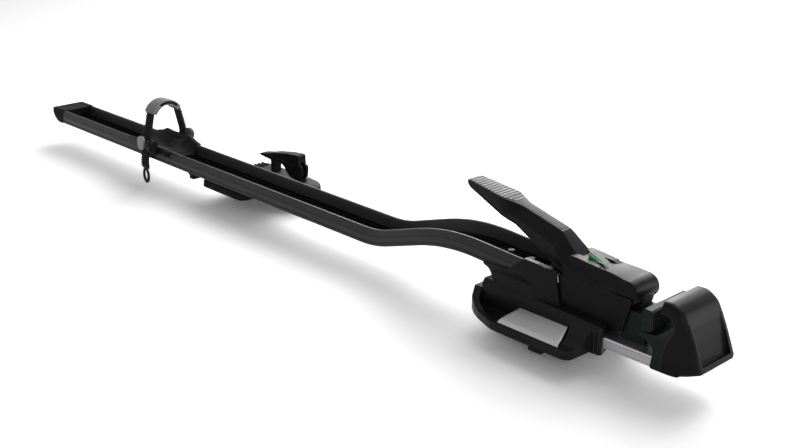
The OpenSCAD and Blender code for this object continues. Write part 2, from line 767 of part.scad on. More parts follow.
// Grey ribbed plate let into the top of the arm
grip_c = [-134, 153.2];
grip_a = 7.4;
module grip_plate(gap, ribs = true) {
    translate([grip_c[0], 0, grip_c[1]]) rotate([0, grip_a, 0]) {
        translate([0, 0, -2.4 - gap]) linear_extrude(gap > 0 ? 8 : 2.2) offset_plan(gap);
        if (ribs) intersection() {
            translate([0, 0, -1]) linear_extrude(3) offset_plan(-1.6);
            for (i = [-7:6]) translate([i * 4.4 + 1, -20, -0.3]) cube([2, 40, 1.3]);
        }
    }
}
module offset_plan(g) {
    polygon([
        [-32 - g, -7 - g], [-28, -9.6 - g], [24, -14.6 - g], [28 + g, -13.6 - g],
        [32 + g, -6.5], [32 + g, 6.5], [28 + g, 13.6 + g], [24, 14.6 + g],
        [-28, 9.6 + g], [-32 - g, 7 + g]
    ]);
}
module lever_grip() {
    color(grey_plastic) grip_plate(0);
}
module crank_pin() {
    color(steel) rod(crank_p, crank_d, 2 * crank_ear_y1 - 0.6);
}

// Lock button: a grey wedge with a green flag on its near side
module button_wedge(drop) {
    polygon([
        [button_x, 111 - drop], [button_x + button_l - 2, 102.6 - drop],
        [button_x + button_l, 101.6 - drop], [button_x + button_l, 97], [button_x, 97]
    ]);
}
module lock_button() {
    color(grey_plastic) {
        between(-button_w / 2, button_w / 2) button_wedge(0);
        block([button_x + 4, -4, 94.6], [button_x + 20, 4, 97.1]);
    }
}
module lock_indicator() {
    color("#1f9a44") between(button_y0, -button_w / 2) polygon([
        [button_x + 0.5, 109.6], [button_x + button_l - 1.5, 101.6],
        [button_x + button_l - 1.5, 97.5], [button_x + 0.5, 97.5]
    ]);
}

// Jaw: a carriage astride the rib, and a broad clamping block over the casting
jaw_face_x = seat_x - seat_r - 0.2;
jaw_back_x = jaw_face_x - jaw_t - 2.6;
carriage_y = 20;
carriage_x0 = 92;
carriage_x1 = 125;
carriage_top = 63.5;
spine_y = 8;
bar_z = 57;
yoke_w = crank_d + 2 * slide_gap;
yoke_wall = 2.5;
module jaw_carriage() {
    color(black_metal) difference() {
        union() {
            difference() {
                block([carriage_x0, -carriage_y, rail_top + 0.4],
                    [carriage_x1, carriage_y, 60]);
                translate([0, 0, rail_z]) along(0, 200) rail_outline(run_gap);
            }
            block([carriage_x0, -carriage_y, 53.8], [jaw_back_x + 6, carriage_y, carriage_top]);
            // Broad block with a chamfered upper back
            across(2 * 38) polygon([
                [jaw_back_x, 54.6], [jaw_back_x + 2, 54], [jaw_face_x - 2, 56],
                [jaw_face_x - 2, jaw_top], [jaw_back_x + 3, jaw_top + 1],
                [jaw_back_x + 1.5, jaw_top - 2], [jaw_back_x, 74]
            ]);
            // Neck under the lever's nose
            block([jaw_back_x - 1.4, -carriage_y, 60], [jaw_back_x + 6, carriage_y, 79]);
        }
        // The drawbar's groove
        block([carriage_x0 - 1, -spine_y - seat_gap, bar_z],
            [jaw_back_x + 4, spine_y + seat_gap, carriage_top + seat_gap]);
        for (y = jaw_screw_y) translate([jaw_screw_x, y, 44]) cylinder(d = 3.4, h = 20);
    }
}
jaw_screw_x = 119.5;
jaw_screw_y = [-4, 4];
// Bar let into the carriage, with a fork that stands up round the crank pin
module jaw_drawbar() {
    fork = yoke_w / 2 + yoke_wall;
    color(steel) difference() {
        across(2 * spine_y) polygon([
            [carriage_x0, bar_z], [jaw_back_x + 4 - seat_gap, bar_z],
            [jaw_back_x + 4 - seat_gap, carriage_top], [crank_p[0] + fork, carriage_top],
            [crank_p[0] + fork, pivot_z - 4.6], [crank_p[0] - fork, pivot_z - 4.6],
            [crank_p[0] - fork, carriage_top], [carriage_x0, carriage_top]
        ]);
        // Slot for the crank pin, open at the top
        block([crank_p[0] - yoke_w / 2, -20, pivot_z - crank_r - crank_d / 2 - 0.6],
            [crank_p[0] + yoke_w / 2, 20, 100]);
        for (y = jaw_screw_y) translate([jaw_screw_x, y, 50]) {
            cylinder(d = 4.1, h = 40);
            translate([0, 0, 12]) cylinder(d = 7.2, h = 28);
        }
    }
}
module jaw_screws() {
    color(steel) for (y = jaw_screw_y) translate([jaw_screw_x, y, 0]) {
        translate([0, 0, 46]) cylinder(d = 3.3, h = 17);
        translate([0, 0, 62]) cylinder(d = 7, h = 3);
    }
}
// Replaceable face of the jaw
module jaw_liner() {
    color(dark_rubber) across(2 * 38 - 2) polygon([
        [jaw_face_x - 2, 57], [jaw_face_x, 57.4], [jaw_face_x, jaw_top - 1.6],
        [jaw_face_x - 2, jaw_top - 0.6]
    ]);
}

// Head: a casting with the axle seat's lower half, and a moulded cover round it
seat = [seat_x, seat_z];
head_y = head_w / 2;
bore_r = seat_r + liner_t;
module head_outline() {
    polygon(concat(
        [[156.6, 96.3], [157.6, 96.6], [169, 95], [176, 91.4], [181, 87.5], [189, 78],
         [197, 64], [204, 45], [211, 27.5], [211.4, 24], [209.6, 22.6], [190, 14],
         [177, 11.6], [160.5, 11.2]],
        head_seam(0), [seat, at(seat, bore_r, 110)]
    ));
}
// Seam between the casting and the cover below the seat
function head_seam(gap) = [
    [161.6 - gap, 31.6], [166.5 - gap, 49], [172.4 - gap, 60.4]
];
module head_casting() {
    color(black_metal) difference() {
        union() {
            // Ledge behind the seat, seen beside the cover
            across(head_w) polygon(concat(
                [[126, 50.4], [129.2, 48.2], [138.2, 44.6], [144, 41], [147.7, 37.1],
                 [148.9, 29.6], [146.7, 15.4], [146.7, 12.4], [148, 11.2],
                 [160.5 - seat_gap, 11.2]],
                head_seam(seat_gap), [seat, [154.8, 54], [150, 53.2]]
            ));
            // Block inside the cover
            across(2 * head_y - 8.4) polygon([
                [160, 11.2], [178, 14], [196, 21.5], [198, 40], [190, 57], [182, 66],
                [178, 60], [172, 55.4], [160, 53]
            ]);
        }
        rod(seat, 2 * bore_r + 0.3, 90);
        // The rail's end
        translate([0, 0, rail_z]) along(100, rail_x1 + 0.1) rail_outline(seat_gap);
        for (y = head_screw_y) translate([head_screw_x, y, 0])
            cylinder(d = screw_d + 2 * seat_gap, h = 20);
        for (x = cover_screw_x) translate([x, 0, 5]) cylinder(d = screw_d - 0.6, h = 22);
    }
}
cover_screw_x = [172];
module head_cover() {
    color(black_plastic) difference() {
        intersection() {
            across(head_w) difference() {
                head_outline();
                translate(seat) circle(r = bore_r);
            }
            // Rounded front corners
            linear_extrude(110) polygon([
                [140, -26], [147, -33], [150, -head_y], [194, -head_y], [203, 2 - head_y],
                [210, 7 - head_y], [213, 13 - head_y], [213, head_y - 13],
                [210, head_y - 7], [203, head_y - 2], [194, head_y], [150, head_y],
                [147, 33], [140, 26]
            ]);
        }
        // Room for the casting
        across(2 * head_y - 2 * cover_t - 2) polygon([
            [150, 9], [178, 9], [178.6, 13.8], [196.6, 21.3], [198.6, 40], [190.6, 57.4],
            [182.4, 66.6], [177.7, 60.3], [171.7, 55.8], [160, 53.4]
        ]);
        // Hollow over the seat
        across(2 * head_y - 2 * cover_t - 2) polygon([
            [179.4, 66], [184.6, 68], [190, 58], [190, 70], [183, 81], [178, 85.4],
            [176, 83]
        ]);
        // Dished front panel with a ledge at its foot
        translate([206.2, 0, 27]) rotate([0, -21.5, 0])
            block([-1.6, 10 - head_y, 1], [10, head_y - 8.4, 43]);
        // Slot and notch in the crown
        block([150, -11, 90], [152.4, -5, 100]);
        translate([155, 25, 80]) cylinder(d = 9, h = 30);
        for (x = cover_screw_x) translate([x, 0, 5]) cylinder(d = screw_d + 0.4, h = 12);
    }
}
// Thin ring that lines the axle seat
module seat_liner() {
    color(dark_rubber) across(head_w - 1) difference() {
        intersection() {
            translate(seat) circle(r = bore_r - seat_gap);
            polygon(concat([seat], [for (a = [-112, -60, 0, 60, 108]) at(seat, 40, a)]));
        }
        translate(seat) circle(r = seat_r);
    }
}
module head_screws() {
    color(steel) {
        for (y = head_screw_y) screw([head_screw_x, y, 11.2], 6.2);
        for (x = cover_screw_x) screw([x, 0, 11.4], 10.2);
    }
}

// Wheel holder in the tray's channel
cradle_x0 = strap_x - 71;
cradle_x1 = cradle_x0 + cradle_l;
rim_z = tray_z + tray_h;
module cradle_section() {
    polygon([
        [5.4 - rim_y, tray_z + 5.2], [-11, tray_z + 4.4], [-11, tray_z + 9.3],
        [11, tray_z + 9.3], [11, tray_z + 4.4], [rim_y - 5.4, tray_z + 5.2],
        [rim_y - 0.5, rim_z + 0.2], [rim_y + 8, rim_z + 0.2], [rim_y + 8.5, rim_z + 2],
        [rim_y + 6, rim_z + 10], [rim_y + 2, rim_z + 10.6], [rim_y - 2, rim_z + 3],
        [16, rim_z - 6], [8, rim_z - 10.5], [0, rim_z - 12], [-8, rim_z - 10.5],
        [-16, rim_z - 6], [2 - rim_y, rim_z + 3], [-rim_y - 2, rim_z + 4],
        [-rim_y - 8, rim_z + 4], [-rim_y - 8.5, rim_z + 2], [-rim_y - 8, rim_z + 0.2],
        [0.5 - rim_y, rim_z + 0.2]
    ]);
}
module wheel_cradle() {
    color(black_plastic) difference() {
        intersection() {
            along(cradle_x0, cradle_x1 + 8) cradle_section();
            across(2 * tray_w) polygon([
                [cradle_x0, tray_z], [cradle_x1 + 8, tray_z], [cradle_x1 + 8, rim_z - 1],
                [cradle_x1 + 7, rim_z + 1.2], [cradle_x1, rim_z + 1.4],
                [cradle_x1 - 4.6, rim_z + 6.4], [cradle_x1 - 10, rim_z + 10.6],
                [cradle_x0 + 27, rim_z + 10.6], [cradle_x0 + 4, rim_z + 1.2],
                [cradle_x0, rim_z + 0.6]
            ]);
        }
        // Narrow cuts round the tongue in the dish
        for (y = [-7, 19]) block([strap_x - 20, y, rim_z - 14], [strap_x + 26, y + 1.6, rim_z]);
        block([strap_x + 24.4, -7, rim_z - 14], [strap_x + 26, 20.6, rim_z]);
        // Gap in the far cheek for the strap
        block([strap_x - strap_w / 2 - slide_gap, tray_y - 4.6, rim_z - 4],
            [strap_x + strap_w / 2 + slide_gap, tray_y + 4, rim_z + 20]);
        between_rod([strap_x, knob_z], 6 + 2 * seat_gap, rim_y - 6, tray_w);
    }
}
knob_z = 50.5;
strap_end = 44;
far_in = tray_y - 1.1;
// Frame on the near side that reaches down over the tray's wall
frame_in = -tray_y - slide_gap;
frame_y0 = frame_in - 4.7;
frame_x0 = strap_x + 10;
frame_x1 = strap_x + 71;
frame_foot = rim_z - 10.5;
frame_top = rim_z + 7;
// Rear end of the clip's band
clip_x = frame_x1 - 9;
module cradle_frame() {
    color(black_plastic) {
        difference() {
            union() {
                block([frame_x0, frame_y0, frame_foot], [frame_x1, frame_in, frame_top]);
                // Shelf over the cradle's near cheek
                block([frame_x0, frame_in - 1, rim_z + 4 + seat_gap],
                    [frame_x1, -rim_y - 1, frame_top]);
            }
            // Pocket, and the line beside the clip's band
            block([clip_x - 26, frame_y0 - 1, rim_z - 7],
                [clip_x - 6, frame_y0 + 2.4, frame_top - 2]);
            block([clip_x - 3, frame_y0 - 1, frame_foot - 1],
                [clip_x - 1.5, frame_y0 + 0.8, frame_top + 1]);
        }
        block([clip_x, frame_y0 - 0.8, frame_foot], [frame_x1, frame_y0 + 0.1, frame_top]);
    }
}
// Anchor for the strap's fixed end on the far side, with its knob
anchor_in = rim_y + 8.5 + seat_gap;
anchor_out = tray_y + 10;
anchor_r = 9;
module strap_anchor() {
    color(black_plastic) difference() {
        union() {
            block([strap_x - 12, anchor_in, strap_end - 2],
                [strap_x + 12, anchor_out, far_bend_z]);
            between(anchor_in, anchor_out) translate([strap_x, far_bend_z]) circle(r = anchor_r);
        }
        block([strap_x - strap_w / 2 - slide_gap, anchor_in - 1, strap_end - 0.1],
            [strap_x + strap_w / 2 + slide_gap, far_in + strap_t + slide_gap, 80]);
        rod([strap_x, knob_z], 6 + 2 * seat_gap, 2 * anchor_out + 20);
    }
}
module anchor_knob() {
    color(black_plastic) {
        between_rod([strap_x, knob_z], 6, anchor_in - 6.6, anchor_out + 1);
        between_rod([strap_x, knob_z], 22, anchor_out + 0.2, anchor_out + 6);
    }
}

// Ribbed strap over the wheel's rim: an arch whose limbs lean out to the tray's sides
near_lean = 14;
strap_bend_z = rim_z;
near_in = arch_r * cos(near_lean)
    + (arch_z + arch_r * sin(near_lean) - strap_bend_z) * tan(near_lean);
tail_in = tray_y + 6.6;
far_lean = 13;
far_bend_z = 60;
tail_z = tray_z - tail_drop;
// Inner line of the strap in its own plane, from the tail's end over the arch to the anchor
strap_line = concat(
    [[-tail_in, tail_z + strap_w / 2], [-tail_in, tray_z - 8], [-near_in, strap_bend_z]],
    [for (i = [0 : 16]) let (a = 180 - near_lean - (180 - near_lean - far_lean) * i / 16)
        [arch_r * cos(a), arch_z + arch_r * sin(a)]],
    [[far_in, far_bend_z], [far_in, strap_end]]
);
// Direction of the strap at each point of its line
function strap_dir(i) = let (
    n = len(strap_line), a = strap_line[max(i - 1, 0)], b = strap_line[min(i + 1, n - 1)],
    d = b - a
) d / norm(d);
function strap_out(i) = strap_line[i] + strap_t * [-strap_dir(i)[1], strap_dir(i)[0]];
module wheel_strap() {
    n = len(strap_line);
    color(dark_rubber) difference() {
        union() {
            along(strap_x - strap_w / 2, strap_x + strap_w / 2) polygon(concat(
                strap_line, [for (i = [n - 1 : -1 : 0]) strap_out(i)]
            ));
            // Round end of the tail
            translate([strap_x, -tail_in, tail_z + strap_w / 2]) rotate([90, 0, 0])
                cylinder(d = strap_w, h = strap_t);
            // Teeth
            strap_teeth(0, 1);
            strap_teeth(1, 2);
            strap_teeth(2, 3);
            strap_teeth(n - 3, n - 2);
        }
        // Loop in the free end
        translate([strap_x, 0, tail_z + 13]) between_slot(-tail_in - 8, -tail_in + 4, 7, 17);
        // Hole for the anchor's pin
        between_rod([strap_x, knob_z], 6 + 2 * seat_gap, far_in - 4, far_in + 20);
    }
}
// Teeth along one straight of the strap, on its outer face
module strap_teeth(i, j) {
    a = strap_line[i];
    b = strap_line[j];
    l = norm(b - a);
    // The free end starts with its loop, and the fixed one ends inside the anchor
    first = i == 0 ? 4.5 * tooth_pitch : tooth_pitch;
    last = j == len(strap_line) - 2 ? l - anchor_r - 1 : l - 1;
    translate([strap_x, a[0], a[1]]) rotate([atan2(b[1] - a[1], b[0] - a[0]), 0, 0])
        for (d = [first : tooth_pitch : last]) translate([0, d, strap_t])
            cube([strap_w - 3, 1.8, 2], center = true);
}
// A slot with round ends, cut across the object
module between_slot(y0, y1, w, h) {
    translate([0, y1, 0]) rotate([90, 0, 0]) linear_extrude(y1 - y0) {
        square([w, h - w], center = true);
        for (s = [-1, 1]) translate([0, s * (h - w) / 2]) circle(d = w);
    }
}
// Grey cushion threaded on the arch
pad_w = 21;
module rim_pad() {
    color(grey_plastic) translate([strap_x - pad_w / 2, 0, arch_z]) rotate([90, 0, 90])
        difference() {
            rotate([0, 0, 27]) rotate_extrude(angle = 124, $fn = 96)
                translate([arch_r - 4.5, 0]) difference() {
                    square([strap_t + 6.5, pad_w]);
                    translate([4.5 - slide_gap, (pad_w - strap_w) / 2 - slide_gap])
                        square([strap_t + 2 * slide_gap, strap_w + 2 * slide_gap]);
                }
            // Curved slot in the front face
            rotate([0, 0, 62]) rotate_extrude(angle = 52, $fn = 96)
                translate([arch_r - 2.6, pad_w - 1.6]) square([4.4, 4]);
        }
}

// Ratchet buckle on the near side: a round housing on the frame, and a bridge over the strap
buckle_y0 = frame_y0 - 8;
buckle_c = [strap_x + 26, rim_z + 4.1];
buckle_p = [strap_x + 1, rim_z + 5];
// The bridge stands clear of the strap, and outside the frame
bridge_in = max(near_in + strap_t + 2.2, seat_gap - frame_y0);
module buckle_body() {
    color(black_plastic) difference() {
        union() {
            between(buckle_y0, frame_y0) translate(buckle_c) circle(r = 9.5);
            block([strap_x - 10, buckle_y0, rim_z - 3], [strap_x + 26, -bridge_in, rim_z + 11]);
        }
        rod(buckle_p, 4 + 2 * seat_gap, 4 * tray_w);
    }
}
module buckle_pin() {
    color(steel) between_rod(buckle_p, 4, buckle_y0 - 3.8, -bridge_in - 0.5);
}
module buckle_lever() {
    color(grey_plastic) difference() {
        between(buckle_y0 - 3.6, buckle_y0 - slide_gap) translate(buckle_p) polygon([
            [-16, 9], [-14, 13], [-1, 15.5], [7, 14], [9, 9], [9.5, -2], [8, -8],
            [2, -11.5], [-12, -11], [-15.5, -6]
        ]);
        rod(buckle_p, 4 + 2 * run_gap, 4 * tray_w);
    }
}

// Rear foot: a plate on the roof bar with a slider in the tray's track
rear_bolt_x = rear_x + rear_bolt_ahead;
module plate_plan(g) {
    polygon([
        [rear_x - 80 - g, 14], [rear_x - 74 - g, -8], [rear_x - 71 - g, -17],
        [rear_x - 62, -rear_near_y - g], [rear_x + 26, -rear_near_y - g],
        [rear_x + 36 + g, -17], [rear_x + 42 + g, -6], [rear_x + 44 + g, 8],
        [rear_x + 90 + g, 60], [rear_x + 96 + g, 72], [rear_x + 96 + g, 92],
        [rear_x + 90 + g, 106], [rear_x + 72, rear_far_y - 4 + g],
        [rear_x + 34, rear_far_y + g], [rear_x - 78, rear_far_y - 2 + g],
        [rear_x - 83 - g, 88]
    ]);
}
plate_top = pad_t - 1 + plate_t;
module rear_foot_plate() {
    color(black_plastic) difference() {
        union() {
            translate([0, 0, pad_t - 1]) linear_extrude(plate_t) plate_plan(0);
            // Riser under the tray
            block([rear_x - 52, -16, plate_top - 0.1], [rear_x + 34, 16, tray_z - slide_gap / 3]);
            // Ribs at the end of the plate
            for (i = [0:3]) block([rear_x - 78, rear_bolt_y - 18 + 8 * i, plate_top - 0.1],
                [rear_x - 60, rear_bolt_y - 14 + 8 * i, plate_top + 2.4]);
        }
        // Long hollow in the near end
        block([rear_x - 62, 4 - rear_near_y, plate_top - 5], [rear_x + 20, -16, plate_top + 1]);
        translate([rear_bolt_x, rear_bolt_y, 0]) cylinder(d = bolt_d + 2 * slide_gap, h = 30);
        translate([rear_x, 0, 0]) cylinder(d = screw_d + 2 * seat_gap, h = 30);
        translate([rear_x, 0, 0]) cylinder(d = 12, h = 12);
        translate([0, 0, -1]) linear_extrude(pad_t + 1) plate_plan(-5);
    }
}
module rear_foot_pad() {
    color(dark_rubber) difference() {
        linear_extrude(pad_t) plate_plan(-5 - seat_gap);
        translate([rear_bolt_x - 13, rear_bolt_y - 13, -1]) cube([26, 26, 8]);
        translate([rear_x, 0, -1]) cylinder(d = 14, h = 8);
    }
}
// Slide nut in the tray's track, drawn down by one screw
module rear_foot_slider() {
    color(steel) difference() {
        union() {
            block([rear_x - 24, 0.3 - track_w / 2, tray_z + 2.5],
                [rear_x + 24, track_w / 2 - 0.3, tray_z + 6.2]);
            block([rear_x - 24, 0.3 - track_slot / 2, tray_z - slide_gap / 3],
                [rear_x + 24, track_slot / 2 - 0.3, tray_z + 2.6]);
        }
        translate([rear_x, 0, 0]) cylinder(d = screw_d - 0.6, h = 60);
    }
}
module slider_screw() {
    color(steel) screw([rear_x, 0, 12], 16);
}
// Rear T-bolt with the lever that draws it up
cam_z = plate_top + 12;
cam_y = rear_bolt_y;
cam_w = 16;
module rear_t_bolt() {
    color(steel) translate([rear_bolt_x, cam_y, 0]) t_bolt(cam_z + 5);
}
module cam_barrel() {
    color(steel) difference() {
        between_rod([rear_bolt_x, cam_z], 11, cam_y - cam_w / 2, cam_y + cam_w / 2);
        translate([rear_bolt_x, cam_y, cam_z - 8]) cylinder(d = bolt_d + 2 * seat_gap, h = 16);
    }
}
module cam_washer() {
    color(steel) translate([rear_bolt_x, cam_y, plate_top]) difference() {
        cylinder(d = 21, h = 1.5);
        translate([0, 0, -1]) cylinder(d = bolt_d + 2 * slide_gap, h = 4);
    }
}
// The lever's foot is a cam: its radius shrinks by the lift towards the front
cam_r = 10.4;
cam_lift = 2;
function cam_radius(a) = cam_r - cam_lift * min(max((a + 90) / 120, 0), 1);
module rear_cam_lever() {
    color(black_plastic) difference() {
        translate([rear_bolt_x, 0, cam_z]) between(cam_y - cam_w / 2, cam_y + cam_w / 2)
            polygon(concat(
                [[-105, 11.5], [-103, 13.8], [-80, 18.4], [-65, 22.5], [-39, 27.3],
                 [-27, 29.5], [-1, 32], [3, 30.5], [4, 15], [9, 13.5], [10, 11], [9.9, 6],
                 [9.6, 2]],
                [for (a = [0 : -10 : -90]) at([0, 0], cam_radius(a), a)],
                [for (a = [-100 : -10 : -120]) at([0, 0], cam_r, a)],
                [[-15, -10.8], [-22, -9.5], [-29, -4], [-36, 4], [-42, 7.5], [-51, 9],
                 [-65, 8.5], [-65, -11.6], [-73, -11.6], [-73, 8.5], [-89, 9.5]]
            ));
        // Fork slot round the bolt
        block([rear_bolt_x - 11, cam_y - 3.6, 0], [rear_bolt_x + 30, cam_y + 3.6, cam_z + 19]);
        // Sunk panels in both sides, under the spine
        translate([rear_bolt_x, cam_y, cam_z]) both_sides() between(cam_w / 2 - 2, cam_w)
            polygon([
                [-74, 16], [-55, 21.5], [-29, 26], [-4, 28.5], [-4, 13], [-19, 11.5],
                [-39, 13.5], [-57, 13.5]
            ]);
        rod([rear_bolt_x, cam_z], 11 + 2 * run_gap, 400);
    }
}

tray();
tray_end_cap();
cap_pin();
rear_stop();
front_foot();
front_foot_pads();
near_foot_cover();
far_foot_cover();
front_t_bolts();
front_bolt_nuts();
rail();
rail_screws();
tray_screws();
base_housing();
base_screws();
cross_pin();
lever_pin();
clamp_lever();
lever_grip();
crank_pin();
lock_button();
lock_indicator();
jaw_carriage();
jaw_drawbar();
jaw_liner();
jaw_screws();
head_casting();
head_cover();
seat_liner();
head_screws();
wheel_cradle();
cradle_frame();
wheel_strap();
rim_pad();
strap_anchor();
anchor_knob();
buckle_body();
buckle_lever();
buckle_pin();
rear_foot_plate();
rear_foot_pad();
rear_foot_slider();
slider_screw();
rear_t_bolt();
rear_cam_lever();
cam_barrel();
cam_washer();
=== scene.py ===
"""Roof mounted bike carrier with a bent tray, a ratchet strap and a clamp lever."""

import math

import bmesh
import bpy
import numpy as np
from mathutils import Matrix, Vector


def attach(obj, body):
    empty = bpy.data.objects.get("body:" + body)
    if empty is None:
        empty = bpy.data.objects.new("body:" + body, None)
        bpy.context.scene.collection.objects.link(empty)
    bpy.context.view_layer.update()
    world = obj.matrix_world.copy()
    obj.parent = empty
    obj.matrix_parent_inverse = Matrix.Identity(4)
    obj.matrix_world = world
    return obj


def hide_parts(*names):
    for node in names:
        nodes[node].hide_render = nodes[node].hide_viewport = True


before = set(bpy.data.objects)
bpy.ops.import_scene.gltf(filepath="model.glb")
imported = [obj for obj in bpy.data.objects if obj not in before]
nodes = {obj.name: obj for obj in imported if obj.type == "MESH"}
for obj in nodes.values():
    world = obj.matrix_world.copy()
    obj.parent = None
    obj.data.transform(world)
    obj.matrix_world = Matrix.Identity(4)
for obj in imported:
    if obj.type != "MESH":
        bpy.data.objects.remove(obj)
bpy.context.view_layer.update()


# Tray
# One black anodised extrusion, bent over the front foot: two rims that lean outwards, and a
# floor with a raised track. Die lines run along it, and the floor between the rims, with the
# lower insides of the rims, is painted near black as painted shade.

def rounded(points, reach, steps, closed=False):
    """A polyline with its corners eased: each corner becomes a parabola that starts and ends
    at the given reach from it, or at just under half of a side where that is shorter."""
    points = np.asarray(points, float)
    reach = np.broadcast_to(np.asarray(reach, float), points.shape[:1])
    before = np.roll(points, 1, axis=0) - points
    after = np.roll(points, -1, axis=0) - points
    longest = 0.49 * np.minimum(
        np.sqrt((before**2).sum(-1)), np.sqrt((after**2).sum(-1))
    ).reshape(len(points), -1).min(axis=1)
    ease = np.minimum(reach, longest).reshape([-1] + [1] * (points.ndim - 1))
    start = points + ease * before / np.sqrt((before**2).sum(-1, keepdims=True)).clip(1e-9)
    end = points + ease * after / np.sqrt((after**2).sum(-1, keepdims=True)).clip(1e-9)
    s = np.linspace(0, 1, steps).reshape([1, steps] + [1] * (points.ndim - 1))
    curve = ((1 - s)**2 * start[:, None] + 2 * s * (1 - s) * points[:, None]
             + s**2 * end[:, None])
    if closed:
        return curve.reshape(-1, *points.shape[1:])
    inner = curve[1:-1].reshape(-1, *points.shape[1:])
    return np.concatenate([points[:1], inner, points[-1:]])


def skin(name, grid, material, body, crease, loop=False, replaces=()):
    """A piece from rings of points in millimetres, grid[ring, point, xyz]. Each ring closes on
    itself. The first and last are capped, or in a loop the last ring joins the first. Edges
    that turn by more than the crease, in degrees, stay sharp."""
    n, m = grid.shape[:2]
    i, k = np.meshgrid(np.arange(n if loop else n - 1), np.arange(m), indexing="ij")
    here, beside = i * m + k, i * m + (k + 1) % m
    faces = np.stack([here, beside, (beside + m) % (n * m), (here + m) % (n * m)], axis=-1)
    faces = faces.reshape(-1, 4).tolist()
    if not loop:
        faces += [list(range(m))[::-1], list(range((n - 1) * m, n * m))]
    mesh = bpy.data.meshes.new(name)
    mesh.from_pydata((0.001 * grid.reshape(-1, 3)).tolist(), [], faces)
    piece = bpy.data.objects.new(name, mesh)
    bpy.context.scene.collection.objects.link(piece)
    shell = bmesh.new()
    shell.from_mesh(mesh)
    bmesh.ops.recalc_face_normals(shell, faces=shell.faces)
    shell.to_mesh(mesh)
    shell.free()
    mesh.shade_smooth()
    mesh.set_sharp_from_angle(angle=math.radians(crease))
    mesh.materials.append(material)
    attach(piece, body)
    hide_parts(*replaces)
    return piece


def second_finish(piece, material, mask):
    """Gives a second material to the faces where the mask is set. The mask has one row from each
    ring to the next, or one row for all of them; the two caps keep the first material."""
    points = mask.shape[-1]
    index = np.zeros(len(piece.data.polygons), np.int32)
    index[:-2] = np.broadcast_to(mask, (len(index[:-2]) // points, points)).ravel()
    piece.data.materials.append(material)
    piece.data.polygons.foreach_set("material_index", index)


def start_material(name, edge=0.0006):
    """An empty material with its shader, the piece's own coordinates and a normal that is
    eased over the given radius at every edge."""
    mat = bpy.data.materials.new(name)
    mat.use_nodes = True
    tree = mat.node_tree
    tree.nodes.clear()
    out = tree.nodes.new("ShaderNodeOutputMaterial")
    shader = tree.nodes.new("ShaderNodeBsdfPrincipled")
    place = tree.nodes.new("ShaderNodeTexCoord")
    ease = tree.nodes.new("ShaderNodeBevel")
    ease.samples = 4
    ease.inputs["Radius"].default_value = edge
    tree.links.new(ease.outputs[0], shader.inputs["Normal"])
    tree.links.new(shader.outputs[0], out.inputs[0])
    return mat, tree, shader, place.outputs["Object"]


def noise(tree, place, scale, detail=3.0, stretch=None):
    """Noise on the piece's coordinates, drawn out along an axis where stretch says so."""
    tex = tree.nodes.new("ShaderNodeTexNoise")
    tex.inputs["Scale"].default_value = scale
    tex.inputs["Detail"].default_value = detail
    if stretch:
        mapping = tree.nodes.new("ShaderNodeMapping")
        mapping.inputs["Scale"].default_value = stretch
        tree.links.new(place, mapping.inputs["Vector"])
        place = mapping.outputs[0]
    tree.links.new(place, tex.inputs["Vector"])
    return tex.outputs[0]


def between(tree, value, low, high, start=0.3, end=0.7):
    """Maps a value that runs from start to end, evenly, to the range from low to high."""
    ranged = tree.nodes.new("ShaderNodeMapRange")
    ranged.inputs["From Min"].default_value = start
    ranged.inputs["From Max"].default_value = end
    ranged.inputs["To Min"].default_value = low
    ranged.inputs["To Max"].default_value = high
    tree.links.new(value, ranged.inputs["Value"])
    return ranged.outputs[0]


def tone(tree, value, dark, light):
    """Colour that wanders between two tones as the value does."""
    ramp = tree.nodes.new("ShaderNodeValToRGB")
    ramp.color_ramp.elements[0].position = 0.3
    ramp.color_ramp.elements[1].position = 0.7
    ramp.color_ramp.elements[0].color = (*dark, 1)
    ramp.color_ramp.elements[1].color = (*light, 1)
    tree.links.new(value, ramp.inputs[0])
    return ramp.outputs[0]


def rubbed_and_highlit(tree, colour, wear_and_highlight):
    """The colour where the skin is whole, and a lighter one at the edges, partly rubbed wear and
    partly painted highlight: an edge is where the eased normal leaves the plain one."""
    ease = next(n for n in tree.nodes if n.type == "BEVEL")
    plain = tree.nodes.new("ShaderNodeNewGeometry")
    lean = tree.nodes.new("ShaderNodeVectorMath")
    lean.operation = "DOT_PRODUCT"
    tree.links.new(ease.outputs[0], lean.inputs[0])
    tree.links.new(plain.outputs["Normal"], lean.inputs[1])
    mix = tree.nodes.new("ShaderNodeMix")
    mix.data_type = "RGBA"
    edge = between(tree, lean.outputs["Value"], 1.0, 0.0, start=0.75, end=0.97)
    tree.links.new(edge, mix.inputs["Factor"])
    tree.links.new(colour, mix.inputs["A"])
    mix.inputs["B"].default_value = (*wear_and_highlight, 1)
    return mix.outputs["Result"]


def relief(tree, shader, value, depth, strength=1.0):
    """A bump of the given depth in metres, on top of the eased normal."""
    bump = tree.nodes.new("ShaderNodeBump")
    bump.inputs["Distance"].default_value = depth
    bump.inputs["Strength"].default_value = strength
    ease = next(n for n in tree.nodes if n.type == "BEVEL")
    tree.links.new(ease.outputs[0], bump.inputs["Normal"])
    tree.links.new(value, bump.inputs["Height"])
    tree.links.new(bump.outputs[0], shader.inputs["Normal"])


def anodised_black():
    """Black anodised extrusion: die lines along X, and a faint cloud in the finish."""
    mat, tree, shader, place = start_material("anodised_black", edge=0.0003)
    cloud = noise(tree, place, 9.0)
    lines = noise(tree, place, 420.0, detail=2.0, stretch=(0.01, 1.0, 1.0))
    tree.links.new(
        tone(tree, cloud, (0.012, 0.012, 0.013), (0.019, 0.019, 0.020)),
        shader.inputs["Base Color"],
    )
    tree.links.new(between(tree, lines, 0.36, 0.46), shader.inputs["Roughness"])
    relief(tree, shader, lines, depth=0.00003, strength=0.6)
    shader.inputs["Specular IOR Level"].default_value = 0.2
    return mat


